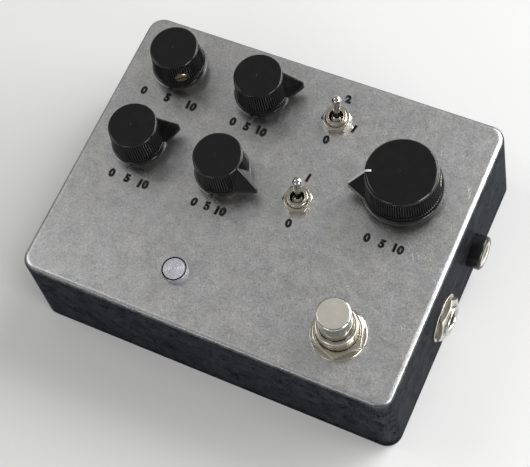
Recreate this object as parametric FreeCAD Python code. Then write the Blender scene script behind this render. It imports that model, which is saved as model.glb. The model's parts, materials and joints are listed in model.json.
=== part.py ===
import FreeCAD, Part
import math
import os

# Analog delay pedal: a die-cast box with five knobs, two toggles, a lamp and a stomp switch.
# Frame: millimetres, +X to the player's right, +Y to the back, +Z up.
# The origin is the middle of the underside of the box.

# Box
BOX_LENGTH = 119.5
BOX_DEPTH = 94.0
BOX_HEIGHT = 34.0
WALL_DRAFT_DEG = 2.26
CORNER_RADIUS = 4.8
TOP_EDGE_RADIUS = 1.7
WALL = 2.3
TOP_THICKNESS = 2.3
BASE_PLATE_THICKNESS = 3.0
TONGUE_HEIGHT = 1.3
TONGUE_WIDTH = 1.5
TONGUE_CLEARANCE = 0.3
BOSS_RADIUS = 4.6
BOSS_INSET = 5.2

# Base screws
BASE_SCREW_RADIUS = 1.7
BASE_SCREW_LENGTH = 12.0
BASE_SCREW_HEAD_RADIUS = 3.3
BASE_SCREW_SINK = 0.15
BASE_HOLE_SPARE = 1.0
SCREW_CLEARANCE = 0.05
CROSS_RECESS_WIDTH = 0.7
CROSS_RECESS_DEPTH = 1.1
CROSS_RECESS_LENGTH = 4.0

# Control layout on the top, set out from the edges of the box's underside
KNOB_PITCH = 27.8
TOGGLE_COLUMN_PITCH = 23.6
TOGGLE_ROW_PITCH = 28.2
LEFT_COLUMN_INSET = 18.75
RIGHT_COLUMN_INSET = 22.05
STOMP_INSET = 22.35
LAMP_INSET = 46.15
BACK_ROW_INSET = 17.0
TOGGLE_ROW_INSET = 16.2
LAMP_ROW_INSET = 16.6
LEFT_COLUMN_X = -BOX_LENGTH / 2 + LEFT_COLUMN_INSET
MIDDLE_COLUMN_X = LEFT_COLUMN_X + KNOB_PITCH
TOGGLE_X = MIDDLE_COLUMN_X + TOGGLE_COLUMN_PITCH
RIGHT_COLUMN_X = BOX_LENGTH / 2 - RIGHT_COLUMN_INSET
STOMP_X = BOX_LENGTH / 2 - STOMP_INSET
LAMP_X = -BOX_LENGTH / 2 + LAMP_INSET
BACK_ROW_Y = BOX_DEPTH / 2 - BACK_ROW_INSET
FRONT_ROW_Y = BACK_ROW_Y - KNOB_PITCH
TOGGLE_BACK_Y = BOX_DEPTH / 2 - TOGGLE_ROW_INSET
TOGGLE_FRONT_Y = TOGGLE_BACK_Y - TOGGLE_ROW_PITCH
LAMP_ROW_Y = -BOX_DEPTH / 2 + LAMP_ROW_INSET

# Knobs, with where each pointer stands in degrees counted anticlockwise from +X
SMALL_KNOB = {"top_radius": 7.3, "band_radius": 7.95, "skirt_radius": 8.35, "tip_radius": 12.7,
              "flutes": 64, "shoulder": 0.7, "wedge_deg": 33.0, "wedge_half_width": 6.6}
LARGE_KNOB = {"top_radius": 10.5, "band_radius": 11.4, "skirt_radius": 12.0, "tip_radius": 15.7,
              "flutes": 96, "shoulder": 1.2, "wedge_deg": 40.0, "wedge_half_width": 9.6}
KNOBS = {
    "volume": (LEFT_COLUMN_X, BACK_ROW_Y, 126.0, SMALL_KNOB),
    "feedback": (MIDDLE_COLUMN_X, BACK_ROW_Y, 30.0, SMALL_KNOB),
    "tone": (LEFT_COLUMN_X, FRONT_ROW_Y, 40.0, SMALL_KNOB),
    "mix": (MIDDLE_COLUMN_X, FRONT_ROW_Y, -12.0, SMALL_KNOB),
    "time": (RIGHT_COLUMN_X, (BACK_ROW_Y + FRONT_ROW_Y) / 2, -160.0, LARGE_KNOB),
}
KNOB_HEIGHT = 10.8
KNOB_GAP = 3.2
SKIRT_HEIGHT = 2.0
SKIRT_EDGE_RADIUS = 0.5
SHOULDER_STEP = 0.4
FLUTE_DEPTH = 0.28
RECESS_RADIUS = 6.3
RECESS_DEPTH = 1.2
POINTER_TIP_HEIGHT = 3.6
POINTER_TIP_WIDTH = 0.9
POINTER_RIDGE_WIDTH = 0.7
POINTER_RIDGE_DROP = 0.35
POINTER_LIFT = 0.3
INSERT_RADIUS = 4.6
INSERT_TOP_COVER = 2.2
SET_SCREW_RADIUS = 2.0
SET_SCREW_HEIGHT = 4.9
SET_SCREW_SETBACK = 0.25
SLOT_WIDTH = 0.7
SLOT_DEPTH = 0.9
FIT = 0.05

# Potentiometers
POT_RADIUS = 8.3
POT_THICKNESS = 5.4
POT_BUSHING_RADIUS = 3.5
POT_BUSHING_LENGTH = 5.1
SHAFT_RADIUS = 3.0
SHAFT_NECK_RADIUS = 2.5
SHAFT_TOP = 8.6
SHAFT_DEPTH = 4.2
RUNNING_CLEARANCE = 0.06
BODY_CLEARANCE = 0.3
POT_WASHER_RADIUS = 5.6
POT_WASHER_THICKNESS = 0.5
POT_NUT_FLATS = 10.0
POT_NUT_THICKNESS = 2.0
WAFER_LENGTH = 12.4
WAFER_REACH = 4.2
WAFER_THICKNESS = 1.3
WAFER_LIFT = 0.6
PIN_INSET = 1.2
PIN_PITCH = 5.0
PIN_RADIUS = 0.5
HOLE_CLEARANCE = 0.1
PIN_PAST_BOARD = 1.0

# Toggle switches
TOGGLE_CASE_X = 11.5
TOGGLE_CASE_Y = 13.0
TOGGLE_CASE_HEIGHT = 9.4
TOGGLE_BUSHING_RADIUS = 3.1
TOGGLE_BUSHING_TOP = 3.2
TOGGLE_NUT_FLATS = 8.0
TOGGLE_NUT_THICKNESS = 2.2
TOGGLE_NUT_TURN_DEG = 20.0
TOGGLE_BORE_RADIUS = 2.15
TOGGLE_THROW_DEG = 11.0
LEVER_PIVOT_HEIGHT = 0.9
LEVER_LENGTH = 10.3
LEVER_TIP_RADIUS = 1.4
LEVER_NECK_RADIUS = 0.95
LEVER_NECK_LENGTH = 3.0
LEVER_BALL_RADIUS = 1.9
LEVER_TAIL_RADIUS = 0.8
LEVER_TAIL_LENGTH = 4.0

# Stomp switch
BUTTON_RADIUS = 4.85
BUTTON_TOP = 16.5
BUTTON_DEPTH = 1.0
BUTTON_EDGE_RADIUS = 0.6
STOMP_TRAVEL = 3.0
STOMP_BUSHING_RADIUS = 6.0
STOMP_BUSHING_TOP = 8.0
STOMP_END_GAP = 2.2
BUSHING_CHAMFER = 0.4
STOMP_NUT_FLATS = 14.0
STOMP_NUT_THICKNESS = 2.4
STOMP_NUT_TURN_DEG = 43.5
STOMP_WASHER_RADIUS = 8.1
STOMP_WASHER_THICKNESS = 0.8
STOMP_CASE_SIDE = 17.2
STOMP_CASE_HEIGHT = 14.2
SPRING_COIL_RADIUS = 3.4
SPRING_WIRE_RADIUS = 0.4
SPRING_TURNS = 5
SPRING_POCKET_RADIUS = 4.3
SPRING_POCKET_DEPTH = 3.0

# Switch lugs
LUG_LENGTH = 3.6
LUG_WIDTH = 2.0
LUG_THICKNESS = 0.8
STOMP_LUG_PITCH = 5.0
TOGGLE_LUG_PITCH = 4.7

# Lamp
LENS_RADIUS = 3.9
LENS_HEIGHT = 2.4
LENS_CROWN = 0.35
LENS_RINGS = 6
LENS_RING_DEPTH = 0.12
LENS_RIM_WIDTH = 0.5
LENS_RIM_DROP = 0.2
LENS_CAVITY_GAP = 0.15
LENS_CAVITY_RISE = 0.3
LENS_BARREL_RADIUS = 3.2
LENS_BARREL_DEPTH = 3.9
LAMP_RADIUS = 2.5
LAMP_DOME_HEIGHT = 2.1
LAMP_FLANGE_RADIUS = 2.9
LAMP_FLANGE_THICKNESS = 1.0
LAMP_HEADROOM = 0.2
LAMP_LEAD_RADIUS = 0.3
LAMP_LEAD_PITCH = 2.54

# Chamfer on every hex nut
NUT_CHAMFER_DEG = 30.0

# Jacks, one in each side wall
JACK_Y = -8.4
JACK_Z = 14.0
JACK_BORE_RADIUS = 3.25
JACK_BUSHING_RADIUS = 4.75
JACK_BUSHING_REACH = 3.1
JACK_NUT_FLATS = 12.7
JACK_NUT_THICKNESS = 2.0
JACK_NUT_TURN_DEG = 30.0
JACK_WASHER_RADIUS = 7.4
JACK_WASHER_THICKNESS = 0.4
JACK_BODY_SIDE = 16.6
JACK_BODY_LENGTH = 25.0
JACK_BORE_END = 1.4
JACK_BUSHING_STAKE = 1.5
JACK_LUG_SPREAD = 4.5

# Power socket in the right wall
SOCKET_Y = 15.2
SOCKET_Z = 12.6
SOCKET_FLANGE_RADIUS = 5.2
SOCKET_FLANGE_REACH = 4.0
SOCKET_EDGE_RADIUS = 0.8
SOCKET_BARREL_RADIUS = 4.6
SOCKET_BARREL_DEPTH = 12.0
SOCKET_SLEEVE_RADIUS = 3.9
SOCKET_BORE_RADIUS = 2.9
SOCKET_BORE_DEPTH = 9.0
SOCKET_PIN_RADIUS = 1.03
SOCKET_PIN_SETBACK = 1.4
SOCKET_PIN_ROUNDING = 0.6
SOCKET_SLEEVE_SETBACK = 0.3
SOCKET_NUT_FLATS = 11.0
SOCKET_LUG_SPREAD = 2.4
SOCKET_NUT_THICKNESS = 2.4

# Circuit board and what it carries
BOARD_THICKNESS = 1.6
BOARD_GAP = 1.2
BOARD_EDGE_GAP = 1.0
BOARD_FRONT_Y = LAMP_ROW_Y - 7.6
BOARD_BACK_Y = BACK_ROW_Y + 10.0
BOARD_STEP_Y = LAMP_ROW_Y + 14.4
BOARD_STEP_X = STOMP_X - 11.4
BOARD_WINDOW_GAP = 0.8
CHIP_SIZE = (19.4, 6.4, 3.4)
CHIP_STANDOFF = 0.4
CHIP_LEG = (0.5, 0.3)
CHIP_LEGS = 7
CHIP_LEG_PITCH = 2.54
CHIP_PLACES = [(LEFT_COLUMN_X + 3.0, FRONT_ROW_Y + 7.8), (MIDDLE_COLUMN_X, FRONT_ROW_Y + 7.8),
               (LEFT_COLUMN_X + 4.0, BACK_ROW_Y + 3.0), (MIDDLE_COLUMN_X, BACK_ROW_Y + 3.0)]
CAN_RADIUS = 3.15
CAN_HEIGHT = 11.0
CAN_EDGE_RADIUS = 0.5
CAN_PLACES = [(TOGGLE_X + 12.6, BACK_ROW_Y + 6.4), (TOGGLE_X + 12.6, BACK_ROW_Y - 1.0),
              (LAMP_X + 11.6, LAMP_ROW_Y + 10.4), (LAMP_X + 20.6, LAMP_ROW_Y + 10.4),
              (LAMP_X - 10.4, LAMP_ROW_Y + 8.4)]
FILM_SIZE = (7.2, 2.6, 6.5)
FILM_PLACES = [(LAMP_X + 15.6, LAMP_ROW_Y - 0.6), (LAMP_X + 26.6, LAMP_ROW_Y - 0.6),
               (LAMP_X - 12.4, LAMP_ROW_Y - 2.6)]
RESISTOR_RADIUS = 1.15
RESISTOR_LENGTH = 6.3
RESISTOR_LEAD_RADIUS = 0.3
RESISTOR_PITCH = 3.2
RESISTOR_PLACES = [(TOGGLE_X + 13.6, FRONT_ROW_Y + 7.8, 5), (LEFT_COLUMN_X - 1.0, LAMP_ROW_Y - 3.6, 5)]

# Hook-up wires
WIRE_RADIUS = 0.6
WIRE_BEND = 2.4
WIRE_LOOP = 7.0
WIRE_FLOOR_GAP = 1.5
WIRE_LAYER = 1.5
BOARD_WIRE_ENDS = [(STOMP_X - 18.9, LAMP_ROW_Y + 19.4), (STOMP_X - 15.4, LAMP_ROW_Y + 21.4)]

EPS = 0.01
TOP_Z = BOX_HEIGHT
CEILING_Z = BOX_HEIGHT - TOP_THICKNESS
KNOB_Z = TOP_Z + KNOB_GAP
DRAFT = math.tan(math.radians(WALL_DRAFT_DEG))
POT_FLOOR_Z = CEILING_Z - POT_THICKNESS
BOARD_TOP_Z = POT_FLOOR_Z - BOARD_GAP
BOARD_LOW_Z = BOARD_TOP_Z - BOARD_THICKNESS
LEVER_PIVOT_Z = TOP_Z + LEVER_PIVOT_HEIGHT
STOMP_CASE_TOP_Z = TOP_Z - BUTTON_DEPTH - STOMP_TRAVEL - STOMP_END_GAP
TOGGLES = {"upper": (TOGGLE_X, TOGGLE_BACK_Y), "lower": (TOGGLE_X, TOGGLE_FRONT_Y)}
STOMP_PLACE = (STOMP_X, LAMP_ROW_Y)
LAMP_PLACE = (LAMP_X, LAMP_ROW_Y)


def vec(x, y, z):
    return FreeCAD.Vector(x, y, z)


def cylinder(radius, height, x, y, z):
    return Part.makeCylinder(radius, height, vec(x, y, z))


def ring(outer, inner, height, x, y, z):
    return cylinder(outer, height, x, y, z).cut(cylinder(inner, height + 2, x, y, z - 1))


def box(x0, x1, y0, y1, z0, z1):
    return Part.makeBox(x1 - x0, y1 - y0, z1 - z0, vec(x0, y0, z0))


def centred_box(size_x, size_y, size_z, x, y, z):
    return box(x - size_x / 2, x + size_x / 2, y - size_y / 2, y + size_y / 2, z, z + size_z)


def polygon_prism(points, z, height):
    corners = [vec(px, py, z) for px, py in points]
    corners.append(corners[0])
    return Part.Face(Part.makePolygon(corners)).extrude(vec(0, 0, height))


def hexagon_points(flats, x, y, turn_deg):
    radius = flats / math.sqrt(3)
    angles = [math.radians(turn_deg + 60 * k) for k in range(6)]
    return [(x + radius * math.cos(a), y + radius * math.sin(a)) for a in angles]


def hex_nut(flats, bore_radius, height, x, y, z, turn_deg=0.0):
    """A hex nut with both faces chamfered to a circle, and its bore."""
    prism = polygon_prism(hexagon_points(flats, x, y, turn_deg), z, height)
    corner = flats / math.sqrt(3)
    chamfer_run = corner - flats / 2
    chamfer = chamfer_run * math.tan(math.radians(NUT_CHAMFER_DEG))
    low = Part.makeCone(corner - chamfer_run, corner, chamfer, vec(x, y, z))
    middle = cylinder(corner, height - 2 * chamfer, x, y, z + chamfer)
    high = Part.makeCone(corner, corner - chamfer_run, chamfer, vec(x, y, z + height - chamfer))
    blank = prism.common(low.fuse([middle, high]).removeSplitter())
    return blank.cut(cylinder(bore_radius, height + 2, x, y, z - 1))


def revolve(points, x, y, z):
    """Turns an (r, height) outline about the vertical axis through (x, y, z)."""
    corners = [vec(x + r, y, z + h) for r, h in points]
    corners.append(corners[0])
    face = Part.Face(Part.makePolygon(corners))
    return face.revolve(vec(x, y, z), vec(0, 0, 1), 360)


def flat_sided_solid(faces):
    """A closed solid from its flat faces, each given as a list of corners."""
    shell = Part.makeShell([Part.Face(Part.makePolygon(corners + [corners[0]])) for corners in faces])
    return Part.makeSolid(shell).removeSplitter()


def drafted_block(inset, radius, z0, z1):
    """The box's outer form, pulled in by inset on each side, between two heights."""
    levels = []
    for z in (z0, z1):
        x = BOX_LENGTH / 2 - inset - z * DRAFT
        y = BOX_DEPTH / 2 - inset - z * DRAFT
        levels.append([vec(x, y, z), vec(-x, y, z), vec(-x, -y, z), vec(x, -y, z)])
    low, high = levels
    sides = [[low[k], low[(k + 1) % 4], high[(k + 1) % 4], high[k]] for k in range(4)]
    block = flat_sided_solid([low, high] + sides)
    upright = [e for e in block.Edges if e.BoundBox.ZLength > (z1 - z0) / 2]
    return block.makeFillet(radius, upright)


def boss_places():
    x = BOX_LENGTH / 2 - BOSS_INSET
    y = BOX_DEPTH / 2 - BOSS_INSET
    return [(x, y), (-x, y), (-x, -y), (x, -y)]


def on_wall(shape, side, y, z):
    """Moves a shape built along +X from the origin onto a side wall's outer face.

    side is 1 for the right wall and -1 for the left one. The wall leans in by its draft.
    """
    placed = shape.copy()
    placed.rotate(vec(0, 0, 0), vec(0, 1, 0), -WALL_DRAFT_DEG)
    placed.translate(vec(BOX_LENGTH / 2 - z * DRAFT, y, z))
    if side < 0:
        placed = placed.mirror(vec(0, 0, 0), vec(1, 0, 0))
    return placed


def along_x(shape):
    """Turns a shape built along +Z about the origin so that it points along +X."""
    turned = shape.copy()
    turned.rotate(vec(0, 0, 0), vec(0, 1, 0), 90)
    return turned


def wall_hole(radius, side, y, z):
    return on_wall(along_x(cylinder(radius, 4 * WALL, 0, 0, -2 * WALL)), side, y, z)


def make_enclosure_body():
    low = BASE_PLATE_THICKNESS
    outer = drafted_block(0.0, CORNER_RADIUS, low, TOP_Z)
    top_edges = [e for e in outer.Edges if abs(e.BoundBox.ZMin - TOP_Z) < EPS]
    outer = outer.makeFillet(TOP_EDGE_RADIUS, top_edges)
    cavity = drafted_block(WALL, CORNER_RADIUS - WALL, low - 1, CEILING_Z)
    shell = outer.cut(cavity)
    for x, y in boss_places():
        boss = cylinder(BOSS_RADIUS, CEILING_Z - low + EPS, x, y, low)
        shell = shell.fuse(boss.common(outer))
    shell = shell.removeSplitter()
    hole_end = BASE_SCREW_SINK + BASE_SCREW_LENGTH + BASE_HOLE_SPARE
    for x, y in boss_places():
        shell = shell.cut(cylinder(BASE_SCREW_RADIUS + SCREW_CLEARANCE, hole_end, x, y, 0))
    holes = []
    for x, y, angle, sizes in KNOBS.values():
        holes.append((POT_BUSHING_RADIUS, x, y))
    for x, y in TOGGLES.values():
        holes.append((TOGGLE_BUSHING_RADIUS, x, y))
    holes.append((STOMP_BUSHING_RADIUS, *STOMP_PLACE))
    holes.append((LENS_BARREL_RADIUS, *LAMP_PLACE))
    for radius, x, y in holes:
        drill = cylinder(radius + HOLE_CLEARANCE, 4 * TOP_THICKNESS, x, y, CEILING_Z - TOP_THICKNESS)
        shell = shell.cut(drill)
    for side in (1, -1):
        shell = shell.cut(wall_hole(JACK_BUSHING_RADIUS + HOLE_CLEARANCE, side, JACK_Y, JACK_Z))
    return shell.cut(wall_hole(SOCKET_BARREL_RADIUS + HOLE_CLEARANCE, 1, SOCKET_Y, SOCKET_Z))


def make_base_plate():
    plate = drafted_block(0.0, CORNER_RADIUS, 0.0, BASE_PLATE_THICKNESS)
    outside = WALL + TONGUE_CLEARANCE
    low = BASE_PLATE_THICKNESS
    high = low + TONGUE_HEIGHT
    outer = drafted_block(outside, CORNER_RADIUS - WALL, low, high)
    inner = drafted_block(outside + TONGUE_WIDTH, CORNER_RADIUS - WALL, low - 1, high + 1)
    tongue = outer.cut(inner)
    for x, y in boss_places():
        tongue = tongue.cut(cylinder(BOSS_RADIUS + TONGUE_CLEARANCE, 4 * TONGUE_HEIGHT, x, y, low - 1))
    plate = plate.fuse(tongue).removeSplitter()
    for x, y in boss_places():
        plate = plate.cut(base_screw_blank(x, y, SCREW_CLEARANCE))
    return plate


def base_screw_blank(x, y, extra):
    """The screw's outer form, or its countersunk hole when extra is the clearance."""
    head = BASE_SCREW_HEAD_RADIUS + extra
    shank = BASE_SCREW_RADIUS + extra
    start = BASE_SCREW_SINK if extra == 0 else -1.0
    cone_end = BASE_SCREW_SINK + head - shank
    end = BASE_SCREW_SINK + BASE_SCREW_LENGTH + extra
    outline = [(0, start), (head, start), (head, BASE_SCREW_SINK), (shank, cone_end), (shank, end), (0, end)]
    if extra == 0:
        outline.remove((head, BASE_SCREW_SINK))
    return revolve(outline, x, y, 0)


def make_base_screws():
    screws = []
    for x, y in boss_places():
        screw = base_screw_blank(x, y, 0)
        arm = (CROSS_RECESS_LENGTH, CROSS_RECESS_WIDTH)
        for size_x, size_y in (arm, arm[::-1]):
            screw = screw.cut(centred_box(size_x, size_y, CROSS_RECESS_DEPTH, x, y, BASE_SCREW_SINK - EPS))
        screws.append(screw)
    return Part.makeCompound(screws)


def fluted_band(sizes, z0, z1):
    """The ribbed side of a knob: a star-shaped prism that narrows towards the top."""
    sections = []
    for z, radius in ((z0, sizes["band_radius"]), (z1, sizes["top_radius"])):
        count = sizes["flutes"]
        points = []
        for k in range(2 * count):
            r = radius - (FLUTE_DEPTH if k % 2 else 0.0)
            angle = math.pi * k / count
            points.append(vec(r * math.cos(angle), r * math.sin(angle), z))
        points.append(points[0])
        sections.append(Part.makePolygon(points))
    return Part.makeLoft(sections, True, True)


def pointer_wedge(sizes):
    """The pointer: a wedge whose ridge falls from the knob's shoulder to the tip."""
    half = math.radians(sizes["wedge_deg"])
    tip = sizes["tip_radius"]
    tip_half = POINTER_TIP_WIDTH / 2
    spread = sizes["wedge_half_width"]
    base_x = tip - (spread - tip_half) / math.tan(half)
    ridge = POINTER_RIDGE_WIDTH / 2
    low = POINTER_LIFT
    ridge_x = sizes["top_radius"] - sizes["shoulder"]
    ridge_z = KNOB_HEIGHT - POINTER_RIDGE_DROP
    floor = [vec(tip, -tip_half, low), vec(tip, tip_half, low),
             vec(base_x, spread, low), vec(base_x, -spread, low)]
    crown = [vec(tip, -ridge, POINTER_TIP_HEIGHT), vec(tip, ridge, POINTER_TIP_HEIGHT),
             vec(ridge_x, ridge, ridge_z), vec(ridge_x, -ridge, ridge_z)]
    faces = [floor, crown]
    for k in range(4):
        following = (k + 1) % 4
        faces.append([floor[k], floor[following], crown[following]])
        faces.append([floor[k], crown[following], crown[k]])
    return flat_sided_solid(faces)


def make_knob(sizes, x, y, angle):
    """One knob with its bore, nut recess and set-screw hole, pointer turned to angle."""
    skirt = sizes["skirt_radius"]
    top = sizes["top_radius"]
    shoulder = sizes["shoulder"]
    band_top = KNOB_HEIGHT - shoulder - SHOULDER_STEP
    base = cylinder(skirt, SKIRT_HEIGHT, 0, 0, 0)
    edge = [e for e in base.Edges if abs(e.BoundBox.ZMin - SKIRT_HEIGHT) < EPS]
    base = base.makeFillet(SKIRT_EDGE_RADIUS, edge)
    band = fluted_band(sizes, SKIRT_HEIGHT, band_top)
    crown = cylinder(top, KNOB_HEIGHT - band_top, 0, 0, band_top)
    rim = [e for e in crown.Edges if abs(e.BoundBox.ZMin - KNOB_HEIGHT) < EPS]
    crown = crown.makeFillet(shoulder, rim)
    knob = base.fuse([band, crown, pointer_wedge(sizes)]).removeSplitter()
    knob = knob.cut(cylinder(RECESS_RADIUS, RECESS_DEPTH + 1, 0, 0, -1))
    knob = knob.cut(cylinder(INSERT_RADIUS + FIT, KNOB_HEIGHT - INSERT_TOP_COVER + FIT, 0, 0, 0))
    hole = along_x(cylinder(SET_SCREW_RADIUS + FIT, 2 * skirt, 0, 0, 0))
    hole.rotate(vec(0, 0, 0), vec(0, 0, 1), 180)
    hole.translate(vec(0, 0, SET_SCREW_HEIGHT))
    knob = knob.cut(hole)
    return place_on_shaft(knob, x, y, angle)


def place_on_shaft(shape, x, y, angle):
    placed = shape.copy()
    placed.rotate(vec(0, 0, 0), vec(0, 0, 1), angle)
    placed.translate(vec(x, y, KNOB_Z))
    return placed


def make_knob_insert(x, y, angle):
    low = RECESS_DEPTH
    insert = ring(INSERT_RADIUS, SHAFT_RADIUS + FIT, KNOB_HEIGHT - INSERT_TOP_COVER - low, 0, 0, low)
    hole = along_x(cylinder(SET_SCREW_RADIUS + FIT, 2 * INSERT_RADIUS, 0, 0, 0))
    hole.rotate(vec(0, 0, 0), vec(0, 0, 1), 180)
    hole.translate(vec(0, 0, SET_SCREW_HEIGHT))
    return place_on_shaft(insert.cut(hole), x, y, angle)


def make_set_screw(sizes, x, y, angle):
    """A slotted screw that bears on the shaft, on the side away from the pointer."""
    start = SHAFT_RADIUS + FIT
    band_height = KNOB_HEIGHT - sizes["shoulder"] - SHOULDER_STEP - SKIRT_HEIGHT
    fraction = (SET_SCREW_HEIGHT - SKIRT_HEIGHT) / band_height
    surface = sizes["band_radius"] + fraction * (sizes["top_radius"] - sizes["band_radius"])
    end = surface - SET_SCREW_SETBACK
    screw = along_x(cylinder(SET_SCREW_RADIUS, end - start, 0, 0, start))
    reach = 2 * SET_SCREW_RADIUS
    slot = box(end - SLOT_DEPTH, end + 1, -reach, reach, -SLOT_WIDTH / 2, SLOT_WIDTH / 2)
    screw = screw.cut(slot)
    screw.rotate(vec(0, 0, 0), vec(0, 0, 1), 180)
    screw.translate(vec(0, 0, SET_SCREW_HEIGHT))
    return place_on_shaft(screw, x, y, angle)


def make_shaft(x, y):
    neck_top = POT_BUSHING_LENGTH + BODY_CLEARANCE
    top = KNOB_Z - CEILING_Z + SHAFT_TOP
    return revolve([(0, -SHAFT_DEPTH), (SHAFT_NECK_RADIUS, -SHAFT_DEPTH), (SHAFT_NECK_RADIUS, neck_top),
                    (SHAFT_RADIUS, neck_top), (SHAFT_RADIUS, top), (0, top)], x, y, CEILING_Z)


def make_pot(x, y):
    """Potentiometer: round can, threaded bushing, and the wafer that carries the pins."""
    can = cylinder(POT_RADIUS, POT_THICKNESS, x, y, POT_FLOOR_Z)
    bushing = cylinder(POT_BUSHING_RADIUS, POT_BUSHING_LENGTH, x, y, CEILING_Z)
    front = y - POT_RADIUS - WAFER_REACH
    low = POT_FLOOR_Z + WAFER_LIFT
    wafer = box(x - WAFER_LENGTH / 2, x + WAFER_LENGTH / 2, front, y, low, low + WAFER_THICKNESS)
    pot = can.fuse([bushing, wafer]).removeSplitter()
    bore_depth = SHAFT_DEPTH + BODY_CLEARANCE
    bore = cylinder(SHAFT_NECK_RADIUS + RUNNING_CLEARANCE, bore_depth + 2 * POT_BUSHING_LENGTH, x, y,
                    CEILING_Z - bore_depth)
    return pot.cut(bore)


def pot_pin_places(x, y):
    front = y - POT_RADIUS - WAFER_REACH + PIN_INSET
    return [(x + k * PIN_PITCH, front) for k in (-1, 0, 1)]


def make_pot_pins():
    """Three round pins on each potentiometer, from its wafer through the board."""
    pins = []
    low = BOARD_LOW_Z - PIN_PAST_BOARD
    for x, y, angle, sizes in KNOBS.values():
        for px, py in pot_pin_places(x, y):
            pins.append(cylinder(PIN_RADIUS, POT_FLOOR_Z + WAFER_LIFT - low, px, py, low))
    return Part.makeCompound(pins)


def make_pot_washers():
    inner = POT_BUSHING_RADIUS + HOLE_CLEARANCE
    return Part.makeCompound([ring(POT_WASHER_RADIUS, inner, POT_WASHER_THICKNESS, x, y, TOP_Z)
                              for x, y, angle, sizes in KNOBS.values()])


def make_pot_nuts():
    z = TOP_Z + POT_WASHER_THICKNESS
    return Part.makeCompound([hex_nut(POT_NUT_FLATS, POT_BUSHING_RADIUS + FIT, POT_NUT_THICKNESS, x, y, z)
                              for x, y, angle, sizes in KNOBS.values()])


def make_toggle_body(x, y):
    """Switch case under the panel and its threaded bushing, bored for the lever."""
    case_low = CEILING_Z - TOGGLE_CASE_HEIGHT
    case = centred_box(TOGGLE_CASE_X, TOGGLE_CASE_Y, TOGGLE_CASE_HEIGHT, x, y, case_low)
    bushing = cylinder(TOGGLE_BUSHING_RADIUS, TOP_THICKNESS + TOGGLE_BUSHING_TOP, x, y, CEILING_Z)
    body = case.fuse(bushing).removeSplitter()
    bore_low = LEVER_PIVOT_Z - LEVER_TAIL_LENGTH - 2 * BODY_CLEARANCE
    return body.cut(cylinder(TOGGLE_BORE_RADIUS, TOP_Z + 2 * TOGGLE_BUSHING_TOP - bore_low, x, y, bore_low))


def make_toggle_lever(x, y):
    """Bat lever, leaning to the back by its throw, with its ball and tail inside."""
    swell = LEVER_LENGTH - LEVER_TIP_RADIUS
    bat = revolve([(0, 0), (LEVER_NECK_RADIUS, 0), (LEVER_NECK_RADIUS, LEVER_NECK_LENGTH),
                   (LEVER_TIP_RADIUS, swell), (0, swell)], 0, 0, 0)
    tip = Part.makeSphere(LEVER_TIP_RADIUS, vec(0, 0, swell))
    ball = Part.makeSphere(LEVER_BALL_RADIUS)
    tail = cylinder(LEVER_TAIL_RADIUS, LEVER_TAIL_LENGTH, 0, 0, -LEVER_TAIL_LENGTH)
    lever = bat.fuse([tip, ball, tail]).removeSplitter()
    lever.rotate(vec(0, 0, 0), vec(1, 0, 0), -TOGGLE_THROW_DEG)
    lever.translate(vec(x, y, LEVER_PIVOT_Z))
    return lever


def make_toggle_nuts():
    nuts = []
    for x, y in TOGGLES.values():
        nuts.append(hex_nut(TOGGLE_NUT_FLATS, TOGGLE_BUSHING_RADIUS + FIT, TOGGLE_NUT_THICKNESS, x, y, TOP_Z,
                            TOGGLE_NUT_TURN_DEG))
    return Part.makeCompound(nuts)


def lug_grid(x, y, z, columns, rows, pitch):
    """Flat solder lugs hanging from height z, as a centred grid."""
    lugs = []
    for i in range(columns):
        for j in range(rows):
            lug_x = x + (i - (columns - 1) / 2) * pitch
            lug_y = y + (j - (rows - 1) / 2) * pitch
            lugs.append(centred_box(LUG_WIDTH, LUG_THICKNESS, LUG_LENGTH, lug_x, lug_y, z - LUG_LENGTH))
    return lugs


def make_switch_lugs():
    lugs = lug_grid(*STOMP_PLACE, STOMP_CASE_TOP_Z - STOMP_CASE_HEIGHT, 3, 3, STOMP_LUG_PITCH)
    for x, y in TOGGLES.values():
        lugs += lug_grid(x, y, CEILING_Z - TOGGLE_CASE_HEIGHT, 2, 3, TOGGLE_LUG_PITCH)
    return Part.makeCompound(lugs)


def make_stomp_case():
    x, y = STOMP_PLACE
    low = STOMP_CASE_TOP_Z - STOMP_CASE_HEIGHT
    pocket_low = STOMP_CASE_TOP_Z - SPRING_POCKET_DEPTH
    case = centred_box(STOMP_CASE_SIDE, STOMP_CASE_SIDE, STOMP_CASE_HEIGHT, x, y, low)
    return case.cut(cylinder(SPRING_POCKET_RADIUS, 2 * SPRING_POCKET_DEPTH, x, y, pocket_low))


def make_stomp_bushing():
    x, y = STOMP_PLACE
    top = TOP_Z + STOMP_BUSHING_TOP
    bushing = ring(STOMP_BUSHING_RADIUS, BUTTON_RADIUS + RUNNING_CLEARANCE, top - STOMP_CASE_TOP_Z, x, y,
                   STOMP_CASE_TOP_Z)
    rims = [e for e in bushing.Edges if abs(e.BoundBox.ZMin - top) < EPS]
    outer_rim = max(rims, key=lambda e: e.BoundBox.XLength)
    return bushing.makeChamfer(BUSHING_CHAMFER, [outer_rim])


def make_stomp_button():
    x, y = STOMP_PLACE
    low = TOP_Z - BUTTON_DEPTH
    button = cylinder(BUTTON_RADIUS, BUTTON_TOP + BUTTON_DEPTH, x, y, low)
    rim = [e for e in button.Edges if abs(e.BoundBox.ZMin - TOP_Z - BUTTON_TOP) < EPS]
    return button.makeFillet(BUTTON_EDGE_RADIUS, rim)


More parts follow.
